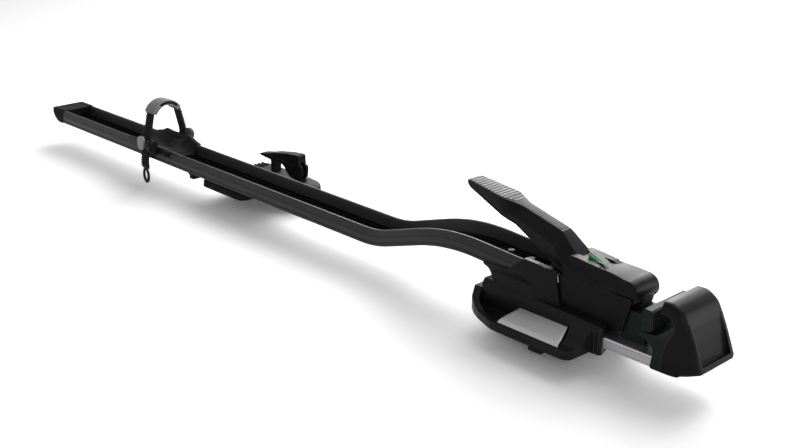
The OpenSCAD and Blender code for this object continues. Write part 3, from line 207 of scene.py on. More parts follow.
def track_painted_shade():
    """Near black painted shade on the floor and the lower insides of the rims, with a faint cloud.
    """
    mat, tree, shader, place = start_material("track_painted_shade", edge=0.0003)
    cloud = noise(tree, place, 60.0)
    tree.links.new(
        tone(tree, cloud, (0.0010, 0.0010, 0.0010), (0.0022, 0.0022, 0.0022)),
        shader.inputs["Base Color"],
    )
    tree.links.new(between(tree, cloud, 0.85, 0.98), shader.inputs["Roughness"])
    shader.inputs["Specular IOR Level"].default_value = 0.02
    return mat


tray_black = anodised_black()

# Half of the section as (side, height), from the middle of the underside round to the groove
# in the track, and how far each corner is eased
tray_half = np.array([
    (4.5, 0), (36, 0), (36, 3.4), (34.7, 3.9), (34.7, 4.8), (35.3, 5.3), (35.2, 12.4),
    (33.9, 12.9), (33.9, 13.6), (34.3, 14.0), (31.0, 20.6), (29.3, 22.3), (28.0, 22.5),
    (26.2, 21.9), (25.4, 19.5), (22.2, 4.4), (20.8, 3), (11.5, 3), (10.5, 8.2), (9.4, 9.0),
    (7.2, 9.0), (7.0, 6.9),
])
ease_half = np.array([0.1, 0.6, 0.3, 0.1, 0.1, 0.4, 0.5, 0.1, 0.1, 0.5, 1.5, 0.8, 0.7, 0.6,
                      1.5, 2.0, 1.4, 0.8, 0.5, 0.8, 0.3, 0.3])
section = np.concatenate([tray_half, tray_half[::-1] * (-1, 1)])
section = rounded(section, np.concatenate([ease_half, ease_half[::-1]]), 4, closed=True)
# Within this half width and above the floor's top, the faces get the near black painted shade
shade_half_w, floor_top = 24.0, 2.9
painted_shade_faces = (np.abs(section[:, 0]) < shade_half_w) & (section[:, 1] > floor_top)

# The underside's line: straight, the lower bend, the climb, the crest and the dip
tail_x, bend_x, tray_z = -1226, -352, 24
low_bend_r, crest_r = 180.0, 300.0
climb_a, dip_a = math.radians(17.5), math.radians(3)
climb_l, dip_l = 64.0, 84
lower = np.linspace(0, climb_a, 25)
upper = np.linspace(climb_a, -dip_a, 33)
line = np.concatenate([
    [(tail_x, tray_z)],
    np.stack([bend_x + low_bend_r * np.sin(lower), tray_z + low_bend_r * (1 - np.cos(lower))], -1),
])
crest_c = line[-1] + climb_l * np.array([math.cos(climb_a), math.sin(climb_a)]) + crest_r * (
    np.array([math.sin(climb_a), -math.cos(climb_a)]))
line = np.concatenate([
    line, crest_c + crest_r * np.stack([-np.sin(upper), np.cos(upper)], -1)
])
line = np.concatenate([line, [line[-1] + (dip_l, -dip_l * math.tan(dip_a))]])
slope = np.concatenate([[0], lower, upper, [0]])
x = line[:, None, 0] - section[None, :, 1] * np.sin(slope)[:, None]
z = line[:, None, 1] + section[None, :, 1] * np.cos(slope)[:, None]
y = np.broadcast_to(section[None, :, 0], x.shape)
tray = skin("tray_extrusion", np.stack([x, y, z], -1), tray_black, "frame",
            crease=20, replaces=("tray",))
second_finish(tray, track_painted_shade(), painted_shade_faces & np.roll(painted_shade_faces, -1))


# End cap, stop block, feet and housing
# Injection moulded in glass filled nylon, deep black with a fine grain, and edges painted lighter,
# partly as rubbed wear and partly as painted highlight. The pieces at the wheel, the rear foot
# and the tail are more matt than those at the front foot.

def dress(node, material):
    """Puts one material on a solid of the model."""
    mesh = nodes[node].data
    mesh.materials.clear()
    mesh.materials.append(material)


def moulded(name, dark, light, rough=(0.32, 0.42), grain=1500.0, depth=0.00004, specular=0.08,
            edge=0.0011):
    """Moulded plastic with a fine grain, slow clouds of tone and gloss, and lighter edges that are
    partly rubbed wear and partly painted highlight.
    """
    mat, tree, shader, place = start_material(name, edge)
    cloud = noise(tree, place, 14.0, detail=4.0)
    fine = noise(tree, place, grain, detail=2.0)
    # Edge colour, partly rubbed wear and partly painted highlight
    wear_and_highlight = tuple(2.0 * c + 0.045 for c in light)
    tree.links.new(rubbed_and_highlit(tree, tone(tree, cloud, dark, light), wear_and_highlight), shader.inputs["Base Color"])
    tree.links.new(between(tree, cloud, *rough), shader.inputs["Roughness"])
    relief(tree, shader, fine, depth)
    shader.inputs["Specular IOR Level"].default_value = specular
    return mat


black_nylon = moulded("black_nylon", (0.0022, 0.0022, 0.0024), (0.0042, 0.0042, 0.0045))
for name in ("base_housing", "clamp_lever"):
    dress(name, black_nylon)
foot_nylon = moulded("foot_nylon", (0.0055, 0.0055, 0.0058), (0.0085, 0.0085, 0.0088))
dress("front_foot", foot_nylon)
matt_nylon = moulded("matt_nylon", (0.0045, 0.0045, 0.0048), (0.0075, 0.0075, 0.0078),
                     rough=(0.56, 0.68), grain=1300.0, depth=0.00005, specular=0.05)
for name in ("tray_end_cap", "rear_stop", "buckle_body", "rear_cam_lever"):
    dress(name, matt_nylon)


# Head cover
# One nylon moulding over the end casting: a crown that rolls down to a leaning front with a
# sunk panel, left bare, and soft corners at both sides. A screw from below holds it.

seat, seat_r = np.array([160.5, 68.5]), 15.4
angles = np.radians(np.linspace(-31.5, 110, 25))
bore = seat + seat_r * np.stack([np.cos(angles), np.sin(angles)], -1)
crown = rounded([(155.3, 83.2), (156.4, 96.9), (170, 97.4), (184, 88.6), (190.5, 77),
                 (199, 60.5), (205.6, 43), (209.9, 31.2)], [0, 1.2, 9, 9, 6, 6, 5, 0], 7)
foot_line = rounded([(211.3, 27.2), (211.2, 23.6), (190, 14), (177, 11.6), (160.5, 11.2)],
                    [0, 1.5, 6, 6, 0], 4)
seam = np.array([(161.6, 31.6), (166.5, 49), (172.4, 60.4)])
panel_z = np.array([76, 70, 62, 54, 46, 38, 31.6, 30.8])
flat = crown[crown[:, 1] <= 76.5][::-1]
outline = np.concatenate([
    crown[(crown[:, 1] > 76.5)][1:],
    np.stack([np.interp(panel_z, flat[:, 1], flat[:, 0]), panel_z], -1),
    foot_line, seam, bore,
])
# The crown, front and foot draw in round both ends; the bore, seam and underside don't
free = (outline[:, 0] > 176) & (outline[:, 1] > 13) | (outline[:, 1] > 85.5)
end_middle = (176, 52)
inward = outline - end_middle
inward /= np.hypot(*inward.T)[:, None]
sides = np.array([37, 36.7, 35.9, 34.5, 32.6, 30.4, 28.6, 27.9, 20, 10, 0])
corner_in, corner_from, corner_w = 5.5, 30, 7
drawn = corner_in * (1 - np.sqrt(1 - np.clip((sides - corner_from) / corner_w, 0, 1)**2))
panel_half_w, panel_depth, panel_top, panel_h = 28.6, 6.0, 77, 46
front_normal = np.array([0.94, 0.34])
sunk = np.where((outline[:, 1] < 76.1) & (outline[:, 1] > 31) & (outline[:, 0] > 185),
                panel_depth * (np.clip(panel_top - outline[:, 1], 0, None) / panel_h)**0.8, 0)
in_panel = np.clip((panel_half_w - sides) / 0.7, 0, 1)
across = np.concatenate([-sides, sides[::-1][1:]])
drawn = np.concatenate([drawn, drawn[::-1][1:]])
in_panel = np.concatenate([in_panel, in_panel[::-1][1:]])
rings = (outline[None] - (drawn[:, None] * free)[..., None] * inward
         - (in_panel[:, None] * sunk)[..., None] * front_normal)
grid = np.stack([rings[..., 0], np.broadcast_to(across[:, None], rings.shape[:2]),
                 rings[..., 1]], -1)
skin("head_moulding", grid, black_nylon, "frame", crease=32,
     replaces=("head_cover",))


# Rubber
# Matt black moulded rubber with a dusty bloom: the pads under both feet, the jaw's face and
# the liner of the axle seat, which lie in or under the hard pieces that they line.

rubber_black = moulded("rubber_black", (0.006, 0.006, 0.006), (0.011, 0.011, 0.011),
                       rough=(0.55, 0.7), grain=900.0, depth=0.00006, specular=0.12)
for name in ("front_foot_pads", "jaw_liner", "seat_liner", "rear_foot_pad"):
    dress(name, rubber_black)


# Castings
# Die cast alloy under a black powder coat with a faint orange peel: the jaw, which slides
# along the rail, and the casting below the axle seat, which two screws hold to the rail.

coat_black = moulded("coat_black", (0.003, 0.0065, 0.0055), (0.005, 0.009, 0.008),
                     rough=(0.36, 0.44), grain=600.0, depth=0.00005, specular=0.1)
for name in ("jaw_carriage", "head_casting"):
    dress(name, coat_black)


# Bright rail and covers
# Natural anodised aluminium, brushed along its length: the extruded rail that the jaw slides
# on, and two pressed covers that lie in the dishes of the front foot's wings.

def brushed(name, colour, rough, stretch):
    """Brushed metal: hair lines drawn out along one axis."""
    mat, tree, shader, place = start_material(name, edge=0.0004)
    lines = noise(tree, place, 900.0, detail=2.0, stretch=stretch)
    dark = tuple(0.9 * c for c in colour)
    tree.links.new(tone(tree, lines, dark, colour), shader.inputs["Base Color"])
    tree.links.new(between(tree, lines, *rough), shader.inputs["Roughness"])
    relief(tree, shader, lines, depth=0.00002, strength=0.5)
    shader.inputs["Metallic"].default_value = 1.0
    return mat


along_length = (0.02, 1.0, 1.0)
bright_alloy = brushed("bright_alloy", (0.40, 0.40, 0.41), (0.34, 0.42), along_length)
dress("rail", bright_alloy)
satin_cover = brushed("satin_cover", (0.36, 0.36, 0.365), (0.40, 0.48), along_length)

# A pressed cover: a plate that leans outwards and rolls down along its outer edge. Its ends
# splay outwards, and each row along it turns down a little at both.
lean = rounded([(-41.4, 24.2), (-63.4, 15.9), (-68.4, 14.0), (-72.6, 9.6), (-73.6, 7.2)],
               [0, 4, 2.4, 1.2, 0], 6)
width = np.concatenate([[0], np.cumsum(np.hypot(*np.diff(lean, axis=0).T))])
width /= width[-1]
left, right = -50 - 8.5 * width, 33 + 7.6 * width
ease = 3.0 * (1 - np.sqrt(1 - np.clip(1 - width / 0.09, 0, 1)**2))
left, right = left + ease, right - ease
u = np.array([0, 0.004, 0.012, 0.05, 0.5, 0.95, 0.988, 0.996, 1])
drop = np.array([1.0, 0.35, 0.08, 0, 0, 0, 0.08, 0.35, 1.0])
x = left[:, None] + (right - left)[:, None] * u
top = np.stack([x, np.repeat(lean[:, :1], len(u), 1), lean[:, 1:] - drop], -1)
sheet_t = 1.4
under = top[:, ::-1] - (0, -0.3, sheet_t)
ring = np.concatenate([top, under], 1)
skin("near_cover", ring, satin_cover, "frame", crease=40,
     replaces=("near_foot_cover",))
skin("far_cover", ring * (1, -1, 1), satin_cover, "frame", crease=40,
     replaces=("far_foot_cover",))


# Fixings
# Steel screws, pins, bolts and nuts. Most are blacked; the crank pin, the screws of the jaw
# and the head, and the rear foot's slide nut and its screw are zinc plated.

zinc_steel = brushed("zinc_steel", (0.45, 0.45, 0.44), (0.3, 0.4), (1.0, 1.0, 0.1))
for name in ("crank_pin", "jaw_screws", "head_screws", "rear_foot_slider", "slider_screw"):
    dress(name, zinc_steel)
black_steel = moulded("black_steel", (0.006, 0.006, 0.006), (0.011, 0.011, 0.011),
                      rough=(0.45, 0.6), grain=1800.0, depth=0.00002, specular=0.1, edge=0.0002)
for name in (
    "cap_pin", "tray_screws", "cross_pin", "lever_pin", "jaw_drawbar", "buckle_pin", "cam_washer",
    "cam_barrel", "rail_screws", "base_screws", "front_t_bolts", "front_bolt_nuts", "rear_t_bolt",
):
    dress(name, black_steel)


# Grey touch points
# What the hand or the wheel touches is moulded in a soft mid grey: the lock button here, and
# the strap's cushion further on. The flag beside the button is moulded in green.

touch_grey = moulded("touch_grey", (0.11, 0.11, 0.11), (0.14, 0.14, 0.14),
                     rough=(0.5, 0.6), grain=1100.0, depth=0.00005, specular=0.35)
dress("lock_button", touch_grey)
flag_green = moulded("flag_green", (0.010, 0.26, 0.055), (0.014, 0.31, 0.070),
                     rough=(0.4, 0.5), grain=900.0, depth=0.00003, specular=0.4)
dress("lock_indicator", flag_green)


# Clamp lever
# Hollow nylon moulding over the ribbed inner lever, turning on its pin: a faceted arm that
# widens into a flat block with a rolled nose, and a raised shoulder beside the button.

def skin_rings(stations, outer):
    """Rings of a hollow skin: the outer corners over the top, then the same corners drawn in
    by the wall, back to the start. Corners are given as (side, height) from the lower edge up
    to the upper one; stations are (x, z) of the height's zero and its direction."""
    over = np.concatenate([outer * (-1, 1), outer[:, ::-1]], 1)
    wall = 2.5
    inner = over[:, ::-1] - np.sign(over[:, ::-1]) * (wall, 0) - (0, wall)
    inner[:, 0, 1] += wall
    inner[:, -1, 1] += wall
    ring = np.concatenate([over, inner], 1)
    x = stations[:, None, 0] + ring[..., 1] * stations[:, None, 2]
    z = stations[:, None, 1] + ring[..., 1] * stations[:, None, 3]
    return np.stack([x, ring[..., 0], z], -1)


def upright(x):
    """Stations at the given x whose height is measured straight up from z = 0."""
    return np.stack([x, 0 * x, 0 * x, 0 * x + 1], -1)


def ease_rings(rings, reach):
    """The same rings with the corners of each eased, by the reach given for each corner."""
    return rounded(rings.transpose(1, 0, 2), reach, 4, closed=True).transpose(1, 0, 2)


# x, then side and height of the lower edge, the fold, and the upper edge
arm = np.array([
    (-171.8, 7.6, 150.8, 8.4, 151.6, 8.6, 154.2),
    (-170.3, 8.2, 149.0, 9.8, 151.0, 11.0, 156.2),
    (-166.2, 9.9, 146.7, 11.4, 149.0, 13.5, 157.9),
    (-103, 15.6, 124.2, 17.9, 131.0, 17.9, 149.7),
    (-78, 16.2, 119.2, 19.0, 130.0, 8.4, 143.8),
    (-16, 20.0, 89.5, 22.0, 113.5, 8.5, 128.4),
    (-10, 20.4, 87.0, 22.6, 104.0, 8.6, 126.0),
    (18, 22.6, 80.5, 24.0, 86.0, 13.0, 103.0),
])
rings = skin_rings(upright(arm[:, 0]), arm[:, 1:].reshape(-1, 3, 2))
rings = rounded(rings, [0, 1, 3, 5, 5, 3, 3, 0], 5)
rings = ease_rings(rings, [0, 0.8, 1.3, 1.3, 0.8, 0, 0, 0.5, 0.5, 0.5, 0.5, 0])
skin("lever_arm_skin", rings, black_nylon, "clamp_lever", crease=18)

# The block, in the arm's order of columns, then its nose in steps round the pivot
pivot, nose_steps = (98.0, 84.0), 16
block = np.array([
    (6, 23.7, 78.5, 22.6, 85.5, 17.6, 102.6), (20, 23.8, 78.5, 22.6, 85.5, 18.6, 102.9),
    (64, 23.8, 78.5, 22.4, 85.5, 19.2, 101.6), (76, 23.7, 78.5, 22.3, 85.5, 20.0, 101.0),
    (83, 21.9, 78.5, 21.9, 85.5, 20.9, 100.4), (92, 21.9, 78.5, 21.9, 85.0, 21.9, 99.3),
])
nose_half_w, nose_r = np.full(nose_steps, 21.9), np.full(nose_steps, 14.9)
turn = np.radians(np.linspace(0, 107, nose_steps))
nose = np.stack([nose_half_w, np.where(turn > 0.05, 1.0, -5.5), nose_half_w,
                 np.where(turn > 0.05, 5.0, 1.0), nose_half_w, nose_r], -1)
round_pivot = np.concatenate([
    np.broadcast_to(pivot, (nose_steps, 2)), np.stack([np.sin(turn), np.cos(turn)], -1)], -1)
rings = skin_rings(np.concatenate([upright(block[:, 0]), round_pivot]),
                   np.concatenate([block[:, 1:], nose]).reshape(-1, 3, 2))
rings = ease_rings(rings, [0, 0.8, 1.4, 1.4, 0.8, 0, 0, 0.5, 0.5, 0.5, 0.5, 0])
skin("lever_block_skin", rings, black_nylon, "clamp_lever", crease=24)

# Shoulders beside the button: x, then (side, height) of inner edge, crest, outer edge, foot
shoulder = np.array([
    (2, 7.8, 102.4, 8.4, 102.6, 23.4, 91.0, 23.4, 86.0),
    (14, 7.4, 103.4, 8.8, 103.8, 25.4, 89.0, 25.2, 84.6),
    (20, 7.4, 104.2, 9.2, 104.6, 26.0, 88.4, 25.8, 84.0),
    (53, 7.4, 104.4, 10.8, 104.8, 26.4, 86.8, 26.0, 83.0),
    (59, 7.6, 102.4, 15.0, 103.0, 24.2, 87.5, 24.0, 83.4),
    (66, 7.6, 100.2, 18.0, 100.8, 22.6, 88.0, 22.6, 84.0),
])
ring = shoulder[:, 1:].reshape(-1, 4, 2)
ring = np.concatenate([ring, np.broadcast_to([(18.0, 84.0), (7.6, 98.0)],
                                             (len(shoulder), 2, 2))], 1)
x = np.broadcast_to(shoulder[:, :1], ring.shape[:2])
rings = np.stack([x, -ring[..., 0], ring[..., 1]], -1)
rings = ease_rings(rounded(rings, [0, 3, 3, 3, 3, 0], 4), [0, 0.8, 1.2, 1.0, 0, 0])
skin("near_shoulder", rings, black_nylon, "clamp_lever", crease=30)
skin("far_shoulder", rings * (1, -1, 1), black_nylon, "clamp_lever", crease=30)


# Grip
# Grey soft touch plate let into the top of the arm, as wide as the arm near its middle and
# drawn in at both ends, with thirteen cross grooves whose floors are painted near black as
# painted shade.

groove_n, groove_pitch, groove_depth = 13, 5.7, 1.3
grooves = -163 + groove_pitch * np.arange(groove_n)
along_x = np.concatenate([[-169.8, -168.8, -166.6], np.ravel(
    grooves[:, None] + np.array([0, 0.4, 2.0, 2.4])), [-88.8, -88.2]])
in_groove = np.concatenate([[0, 0, 0], np.tile([0, 1, 1, 0], groove_n), [0, 0]])

# Height of the top and half of the width along X, then the rings
rise = np.interp(along_x, [-170.3, -166.2, -103, -78], [156.6, 158.0, 149.8, 143.9]) + 0.5
rise[[0, -1]] -= 0.6
half = np.interp(along_x, [-169.8, -166, -106, -103, -88], [7.8, 11.6, 16.0, 15.4, 7.2])
steps = np.array([-1, -0.985, -0.93, 0.93, 0.985, 1])
side = half[:, None] * steps
crest = rise[:, None] + np.array([-0.6, -0.1, 0, 0, -0.1, -0.6]) - groove_depth * (
    in_groove[:, None] * (np.abs(steps) < 0.97))
top = np.stack([np.broadcast_to(along_x[:, None], side.shape), side, crest], -1)
grip_t = 2.2
under = top[:, ::-1] * (1, 1, 0) + np.stack(
    [0 * side, 0 * side, np.broadcast_to(rise[:, None] - grip_t, side.shape)], -1)
grip_grey = moulded("grip_grey", (0.080, 0.080, 0.080), (0.105, 0.105, 0.105),
                    rough=(0.5, 0.6), grain=1100.0, depth=0.00005, specular=0.3)
grip = skin("grip_plate", np.concatenate([top, under], 1), grip_grey, "clamp_lever",
            crease=30, replaces=("lever_grip",))
groove_shade = moulded("groove_shade", (0.006, 0.006, 0.006), (0.008, 0.008, 0.008),
                      rough=(0.7, 0.8), specular=0.02)
# The groove floors get the near black painted shade
floor_of_groove = (in_groove[:-1] == 1) & (in_groove[1:] == 1)
on_top = np.arange(2 * len(steps)) < len(steps) - 1
second_finish(grip, groove_shade, floor_of_groove[:, None] & on_top)


# Strap
# Moulded rubber band with ratchet teeth across its outer face: up from the tail through the
# buckle, over the rim, and down to the anchor on the far side. The tail ends in a pull loop.

strap_x, arch_z, arch_r = -915.0, 90.5, 27
tooth_pitch, tooth_h = 4.1, 2.3
bend = np.radians(np.linspace(166, 13, 25))

# Path of the band's inner face as (y, z), from the loop up over the wheel to the anchor
strap_path = np.concatenate([
    [(-42.6, 6.5), (-42.6, 16), (-42.4, 22), (-37.8, 46.5)],
    np.stack([arch_r * np.cos(bend), arch_z + arch_r * np.sin(bend)], -1),
    [(34.9, 60), (34.9, 44)],
])
strap_path = rounded(strap_path, 6, 4)
pace = np.concatenate([[0], np.cumsum(np.hypot(*np.diff(strap_path, axis=0).T))])
tooth = tooth_pitch * np.arange(1, int(pace[-1] / tooth_pitch) - 4)
stations = np.concatenate([[0], np.ravel(tooth[:, None] + [0, 0.4, 1.6, 2.0]), [pace[-1]]])
bite = np.concatenate([[0], np.tile([0, tooth_h, tooth_h, 0], len(tooth)), [0]])
centre = np.stack([np.interp(stations, pace, strap_path[:, i]) for i in (0, 1)], -1)
ahead = np.stack([np.interp(stations + 0.5, pace, strap_path[:, i]) for i in (0, 1)], -1)
behind = np.stack([np.interp(stations - 0.5, pace, strap_path[:, i]) for i in (0, 1)], -1)
along = ahead - behind
along /= np.hypot(*along.T)[:, None]
outward = np.stack([-along[:, 1], along[:, 0]], -1)
sides = np.array([-9.7, -10, -10, -9.7, 9.7, 10, 10, 9.7])
height = np.array([0, 0.3, 2.9, 3.2, 3.2, 2.9, 0.3, 0])
rise = height[None] + bite[:, None] * np.isin(np.arange(len(sides)), (3, 4))
across = centre[:, None] + rise[..., None] * outward[:, None]
grid = np.stack([np.broadcast_to(strap_x + sides, rise.shape), across[..., 0], across[..., 1]],
                -1)
band = skin("strap_band", grid, rubber_black, "wheel_holder", crease=30,
            replaces=("wheel_strap",))
# Near black for slots, cuts and the gaps between teeth: painted shade
slot_shade = moulded("slot_shade", (0.001, 0.001, 0.001), (0.002, 0.002, 0.002),
                    rough=(0.8, 0.9), specular=0.02)
# The gaps between the teeth are painted near black as painted shade
between_teeth = np.zeros((len(stations) - 1, len(sides)), bool)
between_teeth[4::4, 3] = True
second_finish(band, slot_shade, between_teeth)

# The loop: a flat ring round a long hole
turn = np.radians(np.linspace(0, 360, 41)[:-1])
oval = np.stack([7.3 * np.cos(turn), -6.5 + 12.4 * np.sin(turn)
                 * (1 - 0.12 * np.abs(np.cos(turn)))], -1)
normal = np.stack([np.cos(turn), np.sin(turn)], -1)
thick = np.array([(-2.4, -1.3), (-1.8, -1.7), (1.6, -1.7), (2.2, -1.3), (2.2, 1.3), (1.6, 1.7),
                  (-1.8, 1.7), (-2.4, 1.3)])
flat = oval[:, None] + thick[None, :, :1] * normal[:, None]
loop_y = -44.3
grid = np.stack([flat[..., 0] + strap_x, np.broadcast_to(thick[:, 1] + loop_y, flat.shape[:2]),
                 flat[..., 1]], -1)
skin("strap_loop", grid, rubber_black, "wheel_holder", crease=50, loop=True)


# Cushion
# Soft grey sleeve round the top of the strap, where it bears on the rim. A curved slot in its
# front face lets it bend.

turn = np.radians(np.concatenate([[157, 156.3], np.linspace(155, 31, 41), [29.7, 29]]))
shrink = np.ones(len(turn))
shrink[:2], shrink[-2:] = (0.86, 0.96), (0.96, 0.86)

# Profile as (x, radius), with the slot in the face towards the front
profile = rounded([(-15.6, 23.4), (-15.6, 32.6), (12.4, 32.6), (12.4, 29.8), (10.4, 29.8),
                   (10.4, 25.6), (12.4, 25.6), (12.4, 23.4)],
                  [0.8, 2.4, 1.6, 0.3, 0, 0, 0.3, 0.6], 4, closed=True)
slot_from, slot_to, slot_depth, slot_r = math.radians(42), math.radians(122), 3.4, 27.7

# How far the slot is open along the arch, from 0 to 1, and which points of the profile it moves
slotted = np.clip((slot_to - turn) / 0.1, 0, 1) * np.clip((turn - slot_from) / 0.1, 0, 1)
deep = np.abs(profile[:, 1] - slot_r) < 2.3
deep &= profile[:, 0] > 9
wide = profile[:, 0] * shrink[:, None]
wide = np.where(deep & (profile[:, 0] < 11), 12.4 - slot_depth * slotted[:, None], wide)
radius = 28 + (profile[:, 1] - 28) * shrink[:, None]
grid = np.stack([wide + strap_x, radius * np.cos(turn)[:, None],
                 arch_z + radius * np.sin(turn)[:, None]], -1)
cushion = skin("rim_cushion", grid, touch_grey, "wheel_holder", crease=32,
               replaces=("rim_pad",))
# The faces inside the slot are painted near black as painted shade
second_finish(cushion, slot_shade, (slotted[:-1, None] > 0.5) & (deep & np.roll(deep, -1)))


# Cradle
# Glass filled nylon saddle that slides along the tray: a raised far cheek, a dish with a
# tongue cut in its far slope, and a low hump that runs down to two shallow grooves in front.

saddle_y = np.array([-33.5, -29, -26.4, -23, -16, -8, 0, 5.4, 6.8, 16, 23, 24.4, 28, 30.5, 34])
saddle_x = np.array([-986, -984, -968, -958, -940, -928, -926.6, -905, -889, -882, -872, -866,
                     -862.5, -861.3, -860.1, -858.9, -857.7, -856.5, -855.3, -854])

# Heights of the top at the sides in row_y, for each place along X from tail to front
row_y = [-33.5, -29, -26.4, -23, -16, -8, 0, 8, 16, 24, 28, 30.5, 34]
rows = {
    -986: (47.0, 47.2, 46.8, 44.6, 39.4, 37.4, 36.8, 37.4, 39.8, 44.6, 47.2, 47.4, 47.0),
    -968: (47.0, 47.2, 46.8, 44.6, 39.4, 37.2, 36.6, 37.4, 40.6, 47.6, 51.0, 51.5, 50.0),
    -958: (47.0, 47.2, 46.8, 44.6, 39.4, 37.0, 36.4, 37.8, 42.0, 51.0, 55.8, 56.6, 55.0),
    -940: (47.0, 47.2, 46.8, 44.6, 39.4, 36.8, 36.0, 37.4, 41.6, 50.0, 54.4, 55.0, 54.0),
    -905: (47.0, 47.2, 46.8, 44.6, 39.4, 37.0, 36.5, 38.2, 42.8, 51.4, 55.6, 56.2, 54.6),
    -889: (47.0, 47.2, 47.0, 45.8, 42.6, 41.2, 41.6, 44.2, 49.4, 55.6, 58.0, 58.2, 56.0),
    -880: (47.0, 47.2, 47.1, 45.8, 43.0, 42.6, 43.2, 45.4, 50.2, 55.4, 56.8, 56.6, 54.4),
    -868: (47.0, 47.2, 46.9, 43.2, 38.8, 38.8, 39.2, 39.8, 42.0, 48.0, 50.4, 50.4, 49.4),
    -860: (47.0, 47.2, 46.7, 40.6, 34.4, 35.4, 35.6, 35.8, 36.4, 43.6, 48.0, 48.2, 47.8),
    -854: (47.0, 47.2, 46.6, 38.6, 31.6, 34.0, 34.2, 34.0, 32.4, 41.4, 47.0, 47.2, 47.0),
}
across = np.array([np.interp(saddle_y, row_y, row) for row in rows.values()])
top_z = np.stack([np.interp(saddle_x, list(rows), column) for column in across.T], 1)

# Two shallow grooves across the front end, between the cheeks
lip = np.interp(saddle_x, [-862.5, -861.3, -860.1, -858.9, -857.7, -856.5, -855.3, -854],
                [0, -1.6, -1.6, 0, 0, -1.6, -1.6, -0.4])
top_z = top_z + lip[:, None] * (np.abs(saddle_y) < 27)

# The cut round the tongue: a line along each side of it and one across its tail end
cut_y = np.isin(saddle_y, (5.4, 6.8)) | np.isin(saddle_y, (23, 24.4))
cut = ((saddle_x > -929) & (saddle_x < -888))[:, None] & cut_y
cut |= np.isin(saddle_x, (-928, -926.6))[:, None] & (saddle_y > 5) & (saddle_y < 25)
cut_depth = 1.2
top_z = top_z - cut_depth * cut

# The underside, from the far edge to the near one
bottom = np.array([(34, 46.6), (27.6, 46.4), (21, 29.4), (11, 28.6), (-11, 28.6), (-21, 29.4),
                   (-27.6, 46.4), (-33.5, 46.6)])
ring_y = np.concatenate([saddle_y, bottom[:, 0]])
ring_z = np.concatenate([top_z, np.broadcast_to(bottom[:, 1], (len(saddle_x), len(bottom)))], 1)
grid = np.stack(np.broadcast_arrays(saddle_x[:, None], ring_y[None], ring_z), -1)
saddle = skin("cradle_saddle", grid, matt_nylon, "wheel_holder", crease=48,
              replaces=("wheel_cradle",))
# The faces of the cut round the tongue are painted near black as painted shade
in_cut = np.zeros((len(saddle_x) - 1, len(ring_y)), bool)
in_cut[:, :len(saddle_y) - 1] = cut[:-1, :-1] & cut[1:, :-1] & cut[:-1, 1:] & cut[1:, 1:]
second_finish(saddle, slot_shade, in_cut)

# Near frame: a rolled strip along the tray's rim, and under it a wall with a raised panel
# towards the tail, a hollow and two low ridges
strip = rounded([(-37.4, 46.9), (-38.9, 48.2), (-38.2, 50.4), (-35.6, 51.0), (-32.6, 49.8),
                 (-32.0, 47.9)], [0.5, 0.8, 1.2, 1.2, 1, 0.5], 3, closed=True)
strip_middle = (-36.0, 47.4)
strip_x = np.array([-906, -905, -903, -862, -838, -820, -813, -812])
narrow = np.array([0.7, 0.92, 1, 1, 0.85, 0.6, 0.4, 0.3])
grid = np.stack(np.broadcast_arrays(
    strip_x[:, None], strip_middle[0] + (strip[:, 0] - strip_middle[0]) * narrow[:, None],
    strip_middle[1] + (strip[:, 1] - strip_middle[1]) * narrow[:, None]), -1)
skin("frame_strip", grid, black_nylon, "wheel_holder", crease=40)
wall_x = np.array([-905, -903.6, -884, -883.2, -868, -864.5, -863.8, -862.2, -861.5, -855.5,
                   -854.6, -854])
wall_out = np.array([0.4, 1.6, 1.6, 0.3, 0.3, 0.6, 0.9, 0.9, 0.5, 0.9, 0.6, 0.2])
wall_foot = np.array([38, 37, 37, 37.4, 37.6, 36.6, 36.4, 36.2, 36.2, 36.4, 37, 37.6])
wall_y, even = -36.3, 0 * wall_x
wall = np.stack([
    np.stack([wall_y - even, wall_foot], -1),
    np.stack([wall_y - wall_out * 0.7, wall_foot], -1),
    np.stack([wall_y - wall_out, wall_foot + 1.2], -1),
    np.stack([wall_y - wall_out, even + 46.2], -1),
    np.stack([wall_y - wall_out * 0.7, even + 47.6], -1),
    np.stack([wall_y - even, even + 47.8], -1),
], 1)
grid = np.concatenate([np.broadcast_to(wall_x[:, None, None], (*wall.shape[:2], 1)), wall], 2)
skin("frame_wall", grid, matt_nylon, "wheel_holder", crease=40,
     replaces=("cradle_frame",))


# Buckle
# Round nylon housing on the cradle's near frame, with a domed face and a guard beside it, and
# the grey thumb lever that lets the strap go.

def turned(centre, profile):
    """Rings of a turned piece with its axis along Y: profile is (radius, y) from end to end."""
    angle = np.linspace(0, 2 * np.pi, 48, endpoint=False)
    x = centre[0] + profile[:, :1] * np.cos(angle)
    z = centre[1] + profile[:, :1] * np.sin(angle)
    return np.stack([x, np.broadcast_to(profile[:, 1:], x.shape), z], -1)


def pressed(outline, middle, depth, shrink):
    """Rings of a flat piece: the outline (x, z) carried along Y to each depth, and drawn in
    there towards its middle (x, z) by that depth's share."""
    x = middle[0] + (outline[:, 0] - middle[0]) * shrink[:, None]
    z = middle[1] + (outline[:, 1] - middle[1]) * shrink[:, None]
    return np.stack(np.broadcast_arrays(x, depth[:, None], z), -1)


dome = rounded([(9.6, -41.0), (10.6, -42.0), (10.8, -47.2), (9.2, -50.6), (5.0, -52.3),
                (0.4, -52.8)], [0, 0.5, 2.4, 2, 2, 0], 5)
skin("buckle_dome", turned((-892.0, 50.8), dome), black_nylon, "wheel_holder",
     crease=40)
guard = rounded([(-878.6, 38.5), (-880.6, 38.0), (-882.2, 40), (-883.0, 60), (-881.4, 62.6),
                 (-879.4, 62.0), (-878.8, 59)], [0.4, 0.6, 1.5, 2, 1, 0.8, 1.5], 3, closed=True)
depth = np.array([-38.9, -39.2, -45.5, -46.8, -47.2])
shrink = np.array([0.96, 1, 1, 0.97, 0.9])
skin("buckle_guard", pressed(guard, (-880.8, 50), depth, shrink), matt_nylon, "wheel_holder",
     crease=40)

